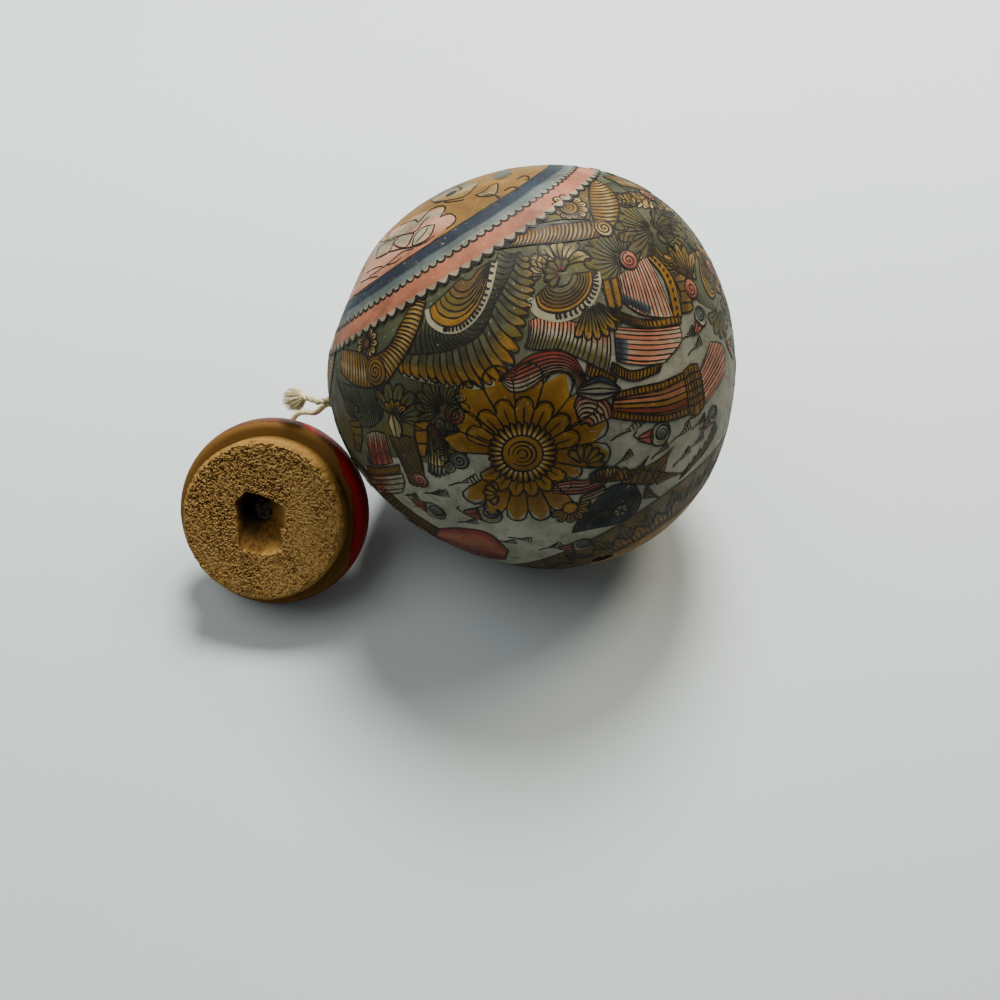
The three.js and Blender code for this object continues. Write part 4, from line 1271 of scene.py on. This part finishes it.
def paint_left_edge(art, globe):
    """Combed tassel, leaf fans, cloths and a rose patch at the left end of the belt."""
    dark = [["pine", "pine", "moss"], ["pine", "moss", "pine"]]
    art.patch(globe, [(71.7, -32.7), (46.8, -25.6), (33.6, -22.9), (22.7, -16.3), (19.1, -10.2)],
              [(66.8, -12.2), (53.4, -7.5), (42.7, -3.8), (35.7, 1.7), (29.1, 2.7)],
              ["moss", "moss", "olive", "moss"], 1.5, 18)
    art.fringe(globe, [(65.3, -30.5), (51.5, -26.1), (40.4, -24)], [(59.9, -18.7), (52.1, -15.6), (45.3, -16.5)],
               18, ["moss", "pine", "moss"], 3, bow=0.8, across=1)
    art.sprays(globe, (
        (40.4, -14.6, -62, 100, 9.4, 6, LEAFY, 5), (26.1, -11.8, -125, -8, 7.8, 5, LEAFY, 5),
        (25.6, -11.9, -12, 100, 6.4, 4, LEAFY, 4),
        (28.6, -4.8, -140, 150, 5.6, 7, dark, 6), (30.6, -2, -150, -20, 4.6, 4, dark, 7),
        (59.2, -18.6, -60, 60, 5.5, 5, LEAFY, 4),
        (40.5, -14.9, -55, 50, 5.0, 4, [["bark", "olive", "ochre"]], 8), (84, -22, -180, 180, 9.0, 11, LEAFY, 4),
        (79, -7, -90, 90, 7.5, 5, LEAFY, 3),
    ), bow=0.5, weight=0.95)
    drop = Spot(globe, 42, -13.3, UPRIGHT)
    art.fringe(drop, [(-1.2, 3.2), (-2.2, 0.4), (-0.9, -3.0)], [(-0.6, 3.4), (2.0, 0.4), (1.2, -3.0)], 1,
               ["cream", "moss"], 9, across=6, rings=(0.45,))
    for longitude, latitude, radius, names in (
        (24.2, -9.4, 2.5, ["rose", "moss"]), (30.5, 1.3, 2.4, ["sky", "moss"]), (34.2, 1.7, 1.6, ["white", "moss"]),
        (45.8, 2, 2.2, ["rose", "blush"]),
    ):
        eye = Spot(globe, longitude, latitude, UPRIGHT)
        art.coil(eye, radius, radius * 0.8, 2.0, names, 9)
    art.fringe(globe, [(46.2, -11.6), (42.2, -10.9), (38.4, -8.9)], [(50.4, 1.9), (48.6, 3.4), (44.5, 2.8)], 5,
               [["bark", "olive", "bark"], ["bark", "bark", "olive"]], 6, ribs=1, bow=0.8, scallop=0.2)
    art.fringe(globe, [(35.2, -12.3), (37.9, -9.1), (39.9, -3.9)], [(31, -10.8), (34, -7.6), (38.5, -3.4)], 3,
               ["mustard", "ochre", "mustard"], 5, across=2)
    art.fringe(globe, [(33.1, -9.7), (31, -9.7), (30.3, -7.5)], [(41.2, 0.6), (39.6, 3), (35.6, 3.4)], 6,
               ["bark", "mustard", "olive", "cream"], 7, across=1, scallop=0.25, bow=0.6)
    art.fringe(globe, [(55, -14.4), (50.4, -14.2), (47.2, -12.7)], [(61.8, -6.2), (56.3, -5.3), (50.9, -5.1)], 8,
               [["white", "rose", "rose", "rose"], ["white", "salmon", "rose", "salmon"]], 6, across=1,
               weight=0.8)
    art.fringe(globe, [(61, -10.3), (59.3, -8.7)], [(63, -6.3), (59.7, -5.6)], 2, ["sky", "navy", "navy"], 6.5,
               lines=False, edges=False)
    art.fringe(globe, [(65.3, -6.1), (56.7, -4.7), (48.9, -4.1)], [(68.1, -3.4), (58.7, -2.4), (50.5, -2)], 14,
               GILT, 8, across=1, weight=0.8)
    art.fringe(globe, [(68.7, -3.1), (71.4, -0.2), (73.3, 3.2)], [(50.3, -1.4), (52.2, 1.3), (56.8, 3.8)], 4,
               [["rose", "salmon", "white", "white"], ["white", "rose", "white", "white"]], 6, across=1,
               weight=0.9)
    art.fringe(globe, [(62.6, -18.8), (62.8, -15.5), (67.6, -10.9)],
               [(55.6, -18.1), (57.8, -14.1), (64.6, -10.1)], 4, ["mustard", "olive", "bark"], 5, across=1)
    art.fringe(globe, [(72.1, -8.6), (73.9, 4.7), (70.1, 14.2), (67.5, 22.4)],
               [(68.2, -4.5), (64, 2.9), (61.1, 12.1), (58.1, 19.1)], 26,
               [["bark", "olive", "bark"], ["pine", "bark", "olive"]], 5, across=1, weight=0.7)
    art.fringe(globe, [(75.1, 25.4), (72.9, 32.2), (65.8, 37.2), (53.7, 39.6)],
               [(59.6, 18.7), (48.9, 20.5), (42, 25.4), (44.2, 34.6)], 1, ["rose", "rose", "salmon", "rose"], 4,
               across=14)
    art.ripples(globe, 4, ((48.6, 5.9, 212, 5.5), (57, 4.9, 212, 4.5)))


def paint_right_edge(art, globe):
    """Feathers, leaf fans, nested ears and a cloud at the right end of the belt."""
    brown = [["bark", "olive", "ochre"], ["bark", "bark", "olive"]]
    art.patch(globe, [(-66.9, -39), (-72.7, -33.4), (-79.4, -24), (-80.3, -14.3), (-78.9, -5.5), (-77.1, 3.7),
               (-71.9, 11.7)], [(-38.5, -22.3), (-40.2, -18.1), (-43.9, -15.1), (-48, -9.1), (-47.5, -2),
               (-48.6, 3.1), (-55.1, 8.7)], ["pine", "moss", "moss", "pine"], 1.5, 24)
    art.fringe(globe, [(-55.3, -35.1), (-66, -32.8), (-82, -26.2)],
               [(-53.1, -32), (-58.7, -28.7), (-72.7, -26.1)], 3, ["pine", "moss"], 3, across=3, lines=False)
    art.fringe(globe, [(-53, -30.7), (-63.3, -27.9), (-75.7, -20.2)],
               [(-49.1, -28.4), (-56, -23.2), (-71.5, -16.4)], 9, ["olive", "ochre", "cream"], 4, scallop=0.2,
               bow=1.2)
    art.sprays(globe, (
        (-49.9, -18.2, -150, -72, 12.5, 4, LEAFY, 5), (-49.9, -18.2, -74, -10, 11.0, 3, LEAFY, 4),
        (-50.6, -18.1, 30, 140, 15.0, 5, LEAFY, 4),
        (-50, -2.3, -62, 42, 10.5, 5, brown, 7), (-60.2, -5.8, -60, 40, 11.0, 4, LEAFY, 3),
        (-60.6, -16.2, -20, 80, 9.0, 4, LEAFY, 3), (-52.7, -25, -80, 60, 6.0, 4, LEAFY, 4),
        (-78.2, -2.6, -80, 40, 8.0, 4, LEAFY, 3),
        (-50.8, -8.2, 60, 170, 7.0, 4, LEAFY, 3),
    ), bow=0.5, weight=1.0)
    art.ear(globe, [(-46.4, -14.6), (-46, -13.8), (-46.2, -12.7), (-47.2, -11.7), (-48.7, -11.1), (-50.3, -11.3)],
            [(-44.7, -16.5), (-41.9, -14.8), (-40.8, -11.8), (-41.7, -8.3), (-44.8, -5.9), (-48.1, -6.7)], 6,
            ("bark", "olive", "bark", "olive", "bark", "olive"))
    art.ear(globe, [(-68.1, -1.9), (-65.4, -1.2), (-63.5, -0.1), (-63.8, 0.7), (-66.7, 0.5), (-70.7, -0.6)],
            [(-66.1, -5.8), (-58.2, -2.8), (-55, 1.4), (-57, 5.9), (-64.9, 4.2), (-77.6, 0)], 6,
            ("bark", "olive", "bark", "olive", "ochre", "olive"))
    art.fringe(globe, [(-44.2, -6.6), (-43.5, -2.6), (-40.1, 1.9)], [(-49, -5.3), (-48.7, 0), (-44.3, 3.6)], 4,
               ["bark", "bark", "ochre"], 7, scallop=0.4)
    eye = Spot(globe, -48.2, -0.9, UPRIGHT)
    art.coil(eye, 2.6, 2.0, 1.8, ["rose", "salmon"], 9)
    art.clouds(globe, 5, ((-46.6, 6.3, 150, 2.6), (-40.8, 32.1, 160, 2.4)))
    art.fringe(globe, [(-21.2, 43.4), (-27.8, 42.7), (-37.2, 41.5), (-43.7, 38.6)],
               [(-23.5, 41.9), (-30.4, 39.5), (-38.3, 37.4), (-41.8, 33.7)], 8, ["bark", "olive", "bark"], 3,
               scallop=0.5, point=True, ribs=1)
    art.ripples(globe, 4, (
        (-25.4, 36, 190, 7.0), (-35, 7.4, 195, 6.0), (-29.7, 30.7, 195, 5.0), (-19.4, 37.2, 185, 6.0),
    ))


def paint_far_side(art, globe):
    """Leaf sprays, a small flower and clouds in the gaps of the belt that face away."""
    gold = [["bark", "mustard", "mustard", "ochre"]]
    for longitude, latitude, turn, half, radius, count, washes, level in (
        (0, -25, 212, 180, 9.0, 11, LEAFY, 4), (-9, -12, 250, 75, 9.0, 5, LEAFY, 3),
        (9, -13, 170, 75, 9.0, 5, LEAFY, 3),
        (-3, 10, 30, 75, 8.0, 5, LEAFY, 3), (9, 9, 30, 75, 8.0, 5, LEAFY, 3), (1, 0, 212, 180, 7.5, 8, gold, 6),
    ):
        art.fan(Spot(globe, longitude, latitude, turn), 1.0, radius, -half, half, count, washes, level, ribs=1,
                bow=0.5)
    for longitude, latitude, radius in ((0, -25, 2.4), (1, 0, 2.2)):
        heart = Spot(globe, longitude, latitude, UPRIGHT)
        art.coil(heart, radius, radius * 0.8, 1.8, ["rose", "salmon"], 9)
    art.clouds(globe, 4, ((4, 22, 205, 3.0), (-8, 31, 195, 2.8)))
    art.ripples(globe, 4, ((-6, 21, 200, 6.0), (6, 33, 200, 6.0), (-2, 39, 195, 5.5)))


# Operators


class JAR_OT_stage(bpy.types.Operator):
    """Set the camera, the pale floor and the soft light"""
    bl_idname = "jar.stage"
    bl_label = "Set Stage"

    def execute(self, context):
        stage = context.scene.jar_stage
        lens = bpy.data.cameras.new("camera")
        lens.sensor_width = CAMERA_SENSOR
        lens.lens = CAMERA_LENS
        lens.clip_start = 0.01
        camera = bpy.data.objects.new("camera", lens)
        camera.location = CAMERA_PLACE
        camera.rotation_euler = (math.radians(CAMERA_TILT), 0.0, 0.0)
        context.scene.collection.objects.link(camera)
        context.scene.camera = camera

        bm = bmesh.new()
        bmesh.ops.create_grid(bm, x_segments=8, y_segments=8, size=FLOOR_HALF_WIDTH)
        floor = new_piece("floor", bm, floor_finish(stage))
        floor.location = FLOOR_PLACE

        for name, power, width, place, tone in (
            ("back_light", stage.back, 0.5, (0.07, 0.69, 1.1), (1.0, 1.0, 0.98)),
            ("side_light", stage.side, 0.45, (0.62, 0.4, 1.05), (1.0, 0.9, 0.74)),
            ("left_light", stage.left, 0.9, (-0.55, -0.1, 1.0), (1.0, 1.0, 1.0)),
        ):
            light = bpy.data.lights.new(name, "AREA")
            light.shape = "DISK"
            light.size = width
            light.energy = power
            light.color = tone
            lamp = bpy.data.objects.new(name, light)
            lamp.location = place
            lamp.rotation_euler = (LIGHT_AIM - lamp.location).to_track_quat("-Z", "Y").to_euler()
            context.scene.collection.objects.link(lamp)
        world = context.scene.world or bpy.data.worlds.new("room")
        context.scene.world = world
        world.use_nodes = True
        air = world.node_tree.nodes["Background"]
        air.inputs["Color"].default_value = ROOM_TONE
        air.inputs["Strength"].default_value = stage.sky
        return {"FINISHED"}


class JAR_OT_cord(bpy.types.Operator):
    """Lay the cotton cord, its tail, its tuft and its two knots"""
    bl_idname = "jar.cord"
    bl_label = "Lay Cord"

    def execute(self, context):
        cord = context.scene.jar_cord
        clean_and_painted_light = cotton_finish("cotton", cord, 0.0)
        # Cotton darkened near to black: painted shade for the knot in the lid's recess and the run through its bore
        cotton_in_shade = cotton_finish("shaded_cotton", cord, 0.96)
        upper_route = cord_route(TETHER_UPPER)
        lower_route = cord_route(TETHER_LOWER)
        tail_route = cord_route(CORD_TAIL)
        upper = twisted_cord("tether_upper_cord", upper_route, cord, 3)
        lower = twisted_cord("tether_lower_cord", lower_route, cord, 4)
        tail = twisted_cord("cord_tail_strand", tail_route, cord, 5, 24)
        tuft = tuft_piece("frayed_tuft", tail_route[-1], 6)
        inside = CORD_EXIT - CORD_HOLE_WAY * (context.scene.jar_shell.wall + KNOT_INSET)
        shell_knot = twisted_cord("shell_side_knot", knot_route(inside, CORD_HOLE_WAY, KNOT_RADIUS), cord, 7, 20)
        place = lid_frame()
        floor = (context.scene.jar_lid.plug_length - context.scene.jar_lid.recess_depth) / MM
        middle = place @ ((Vector(LID_KNOT) + Vector((0, 0, floor))) * MM)
        lid_knot = twisted_cord("lid_side_knot", knot_route(middle, PLUG_WAY, KNOT_RADIUS), cord, 8, 20)
        run = [place @ (Vector((0, LID_HOLE_HEIGHT, -16 + (floor + 18) * step / 12)) * MM) for step in range(13)]
        through = twisted_cord("lid_side_run", run, cord, 9, 0)
        for piece in (upper, lower, tail, tuft, shell_knot, lid_knot, through):
            piece.data.materials.clear()
            piece.data.materials.append(cotton_in_shade if piece in (lid_knot, through) else clean_and_painted_light)
        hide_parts("tether_upper")
        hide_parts("tether_lower")
        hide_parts("cord_tail")
        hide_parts("cord_tuft")
        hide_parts("shell_knot")
        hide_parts("lid_knot")
        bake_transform(upper)
        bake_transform(lower)
        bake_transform(tail)
        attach(tuft, "tether")
        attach(shell_knot, "shell")
        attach(lid_knot, "lid")
        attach(through, "lid")
        return {"FINISHED"}


class JAR_OT_shell(bpy.types.Operator):
    """Carve the hollow nut with its mouth, rim, eye, cord hole and resting flat"""
    bl_idname = "jar.shell"
    bl_label = "Carve Shell"

    def execute(self, context):
        shell = context.scene.jar_shell
        form = ShellForm(shell)
        turn = NUT_AXIS.to_track_quat("Z", "Y")

        def egg(name, depth, around, along):
            bm = bmesh.new()
            bmesh.ops.create_uvsphere(bm, u_segments=around, v_segments=along, radius=1.0)
            for vert in bm.verts:
                way = (turn @ vert.co).normalized()
                vert.co = form.point(way, -depth)
            return new_piece(name, bm)

        piece = egg("coconut_jar_shell", 2 * COAT, 192, 128)
        reach = 2 * shell.radius
        bm = bmesh.new()
        bmesh.ops.create_cube(bm, size=reach, matrix=Matrix.Translation((0, 0, -reach / 2)))
        carved(piece, [
            egg("hollow", shell.wall, 96, 64),
            rod("mouth", SHELL_CENTRE, MOUTH_WAY, 0.0, reach, shell.mouth_radius, 128),
            rod("above_rim", SHELL_CENTRE, MOUTH_WAY, shell.rim_distance, reach, shell.radius, 64),
            rod("eye", SHELL_CENTRE, EYE_WAY, 0.0, reach, shell.eye_radius, 32),
            rod("cord_hole", SHELL_CENTRE, CORD_HOLE_WAY, 0.0, reach, shell.cord_hole_radius, 24),
            new_piece("table", bm),
        ])
        mesh = piece.data
        mesh.materials.clear()
        for material in (ground_finish(context.scene.jar_paint), raw_shell_finish("scraped_inside", shell.raw),
                         raw_shell_finish("cut_edge", shell.edge)):
            mesh.materials.append(material)
        for face in mesh.polygons:
            away = face.center - SHELL_CENTRE
            depth = form.reach(away.normalized()) - away.length
            face.material_index = 0 if depth < PAINTED_DEPTH else 1 if depth > shell.wall - SCRAPED_DEPTH else 2
            if face.normal.z < -0.99 and face.center.z < 0.01 * MM:
                face.material_index = 0
        mesh.shade_smooth()
        mesh.set_sharp_from_angle(angle=math.radians(32))
        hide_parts("coconut_shell")
        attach(piece, "shell")
        return {"FINISHED"}


class JAR_OT_painting(bpy.types.Operator):
    """Paint the shell with stripes, wings, scrolls, cloths, a flower and clouds"""
    bl_idname = "jar.painting"
    bl_label = "Paint Shell"

    def execute(self, context):
        shell = context.scene.jar_shell
        form = ShellForm(shell)
        art = Painting(context.scene.jar_paint, 21)
        paint_rings(art, form)
        for start in (0.0, 122.0, 238.0):
            globe = Globe(form, start)
            paint_wings(art, globe)
            paint_cloths(art, globe)
            paint_flower(art, globe)
            paint_sky(art, globe)
        globe = Globe(form)
        for paint_part in (paint_cap, paint_left_edge, paint_right_edge):
            paint_part(art, globe)
        for start in (-67.0, 176.0):
            paint_far_side(art, Globe(form, start))
        for piece in art.finish(shell, "shell_paint", "shell_ink_lines"):
            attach(piece, "shell")
        return {"FINISHED"}


class JAR_OT_lid(bpy.types.Operator):
    """Turn the stopper lid, cut its recess and tear its end grain"""
    bl_idname = "jar.lid"
    bl_label = "Turn Lid"

    def profile(self, lid):
        """The turned outline as radius and height, from the dome's top to the middle of the plug's end."""
        wide, deep = lid.head_radius, lid.head_depth
        points = []
        for step in range(29):
            t = step / 28
            a, b, c, d = (1 - t) ** 3, 3 * t * (1 - t) ** 2, 3 * t * t * (1 - t), t ** 3
            points.append((b * 0.55 * wide + c * wide + d * wide, -deep * (a + b + 0.76 * c) - lid.head_widest * d))
        for step in range(1, 9):
            t = step / 8
            edge = wide - lid.head_round
            points.append((wide * (1 - t * t) + edge * t * t, -lid.head_widest * (1 - t) ** 2))
        for step in range(1, 5):
            points.append((edge + (lid.plug_radius - edge) * step / 4, 0.0))
        for step in range(1, 11):
            points.append((lid.plug_radius, (lid.plug_length - lid.plug_chamfer) * step / 10))
        for step in range(1, 4):
            share = lid.plug_chamfer * step / 3
            points.append((lid.plug_radius - share, lid.plug_length - lid.plug_chamfer + share))
        for step in range(1, 85):
            points.append(((lid.plug_radius - lid.plug_chamfer) * (1 - step / 84), lid.plug_length))
        return points

    def cutter(self, name, corners, cuts, rough):
        """A hand-cut hollow: the hull of its corners with slightly uneven faces."""
        bm = bmesh.new()
        for corner in corners:
            bm.verts.new(Vector(corner) * MM)
        hull = bmesh.ops.convex_hull(bm, input=bm.verts[:])
        bmesh.ops.delete(bm, geom=list(set(hull["geom_interior"])), context="VERTS")
        bmesh.ops.triangulate(bm, faces=bm.faces[:])
        bmesh.ops.subdivide_edges(bm, edges=bm.edges[:], cuts=cuts, use_grid_fill=True)
        noise.seed_set(CUTTER_SEED)
        for vert in bm.verts:
            vert.co += noise.noise_vector(vert.co / MM * 0.55) * rough
        bmesh.ops.recalc_face_normals(bm, faces=bm.faces[:])
        return new_piece(name, bm)

    def wear(self, mesh, lid):
        """Torn end grain, painted shade in the recess and a chipped plug edge, with the attributes that the finish
        reads.
        """
        end = lid.plug_length / MM
        for name, kind in (("lid_place", "FLOAT_VECTOR"), ("pore", "FLOAT"), ("end_grain", "FLOAT"),
                           ("recess_shade", "FLOAT")):
            mesh.attributes.new(name, kind, "POINT")
        place, pore, grain, recess_shade = (mesh.attributes[name] for name in ("lid_place", "pore", "end_grain", "recess_shade"))
        for vert in mesh.vertices:
            spot = vert.co / MM
            place.data[vert.index].vector = spot
            away = math.hypot(spot.x, spot.y)
            edge = lid.plug_radius / MM - away
            if abs(spot.z - end) < 0.05 and edge > 0.6:
                grain.data[vert.index].value = 1.0
                flat = Vector((spot.x, spot.y, 0.0))
                coarse = min(max(0.8 + 0.45 * noise.noise(flat * 0.13) + 0.008 * (spot.y - spot.x), 0.5), 1.15)
                tear = sum((share * noise.noise(flat * cells) for cells, share in TEARS), 0.27)
                tear = min(max(tear * coarse, 0.0), 1.2)
                pore.data[vert.index].value = min(1.0, tear)
                vert.co.z -= lid.pores * (tear - 0.1)
            # Painted shade in the recess: deeper towards its floor, lighter on its right wall that faces the light
            elif away < 14.0 and end - 0.2 > spot.z > -2.0:
                depth = min(1.0, 0.2 + (end - spot.z) / 7.5)
                recess_shade.data[vert.index].value = depth * min(1.0, max(0.3, 0.5 - spot.x / 5))
            if spot.z > 0.5 and -0.1 < edge < 1.6:
                chip = max(0.0, noise.noise(spot * 0.55) + 0.7 * noise.noise(spot * 1.6))
                vert.co.z -= 0.7 * MM * chip * min(1.0, max(0.0, spot.z - end + 2.0))
                vert.co.x *= 1 - 0.012 * chip
                vert.co.y *= 1 - 0.012 * chip

    def execute(self, context):
        lid = context.scene.jar_lid
        bm = bmesh.new()
        verts = [bm.verts.new((radius, 0.0, height)) for radius, height in self.profile(lid)]
        edges = [bm.edges.new(pair) for pair in zip(verts, verts[1:])]
        bmesh.ops.spin(bm, geom=verts + edges, cent=(0, 0, 0), axis=(0, 0, 1), angle=2 * math.pi, steps=400,
                       use_merge=True)
        bmesh.ops.remove_doubles(bm, verts=bm.verts[:], dist=1e-6)
        bmesh.ops.recalc_face_normals(bm, faces=bm.faces[:])
        piece = new_piece("stopper_lid", bm)

        end = lid.plug_length / MM
        floor = end - lid.recess_depth / MM
        pocket = [(x, y, end + 2) for x, y in RECESS_OUTLINE]
        pocket += [(x, y, floor + up) for x, y, up in RECESS_FLOOR]
        scoop = [(x, y, end + up) for x, y, up in SCOOP]
        bore = rod("bore", Vector((0, LID_HOLE_HEIGHT * MM, 0)), Vector((0, 0, 1)), -0.03, lid.plug_length,
                   LID_HOLE_RADIUS, 20)
        carved(piece, [self.cutter("pocket", pocket, 5, 0.35 * MM), self.cutter("scoop", scoop, 5, 0.3 * MM), bore])

        mesh = piece.data
        self.wear(mesh, lid)
        mesh.transform(lid_frame())
        mesh.materials.clear()
        mesh.materials.append(lid_finish(lid))
        mesh.shade_smooth()
        mesh.set_sharp_from_angle(angle=math.radians(48))
        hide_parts("lid_stopper")
        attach(piece, "lid")
        return {"FINISHED"}


class JAR_PT_panel(bpy.types.Panel):
    """Settings and steps of the jar"""
    bl_label = "Coconut Jar"
    bl_idname = "JAR_PT_panel"
    bl_space_type = "VIEW_3D"
    bl_region_type = "UI"
    bl_category = "Jar"

    def draw(self, context):
        for operator in OPERATORS:
            self.layout.operator(operator.bl_idname)
        for name, group in GROUPS:
            box = self.layout.box()
            for key in group.__annotations__:
                box.prop(getattr(context.scene, name), key)


OPERATORS = (JAR_OT_stage, JAR_OT_cord, JAR_OT_shell, JAR_OT_painting, JAR_OT_lid)


def register():
    for name, group in GROUPS:
        bpy.utils.register_class(group)
        setattr(bpy.types.Scene, name, PointerProperty(type=group))
    for thing in (*OPERATORS, JAR_PT_panel):
        bpy.utils.register_class(thing)


def unregister():
    for thing in (JAR_PT_panel, *reversed(OPERATORS)):
        bpy.utils.unregister_class(thing)
    for name, group in reversed(GROUPS):
        delattr(bpy.types.Scene, name)
        bpy.utils.unregister_class(group)


def main():
    register()
    bpy.ops.jar.stage()
    bpy.ops.jar.cord()
    bpy.ops.jar.shell()
    bpy.ops.jar.painting()
    bpy.ops.jar.lid()


if __name__ == "__main__":
    main()
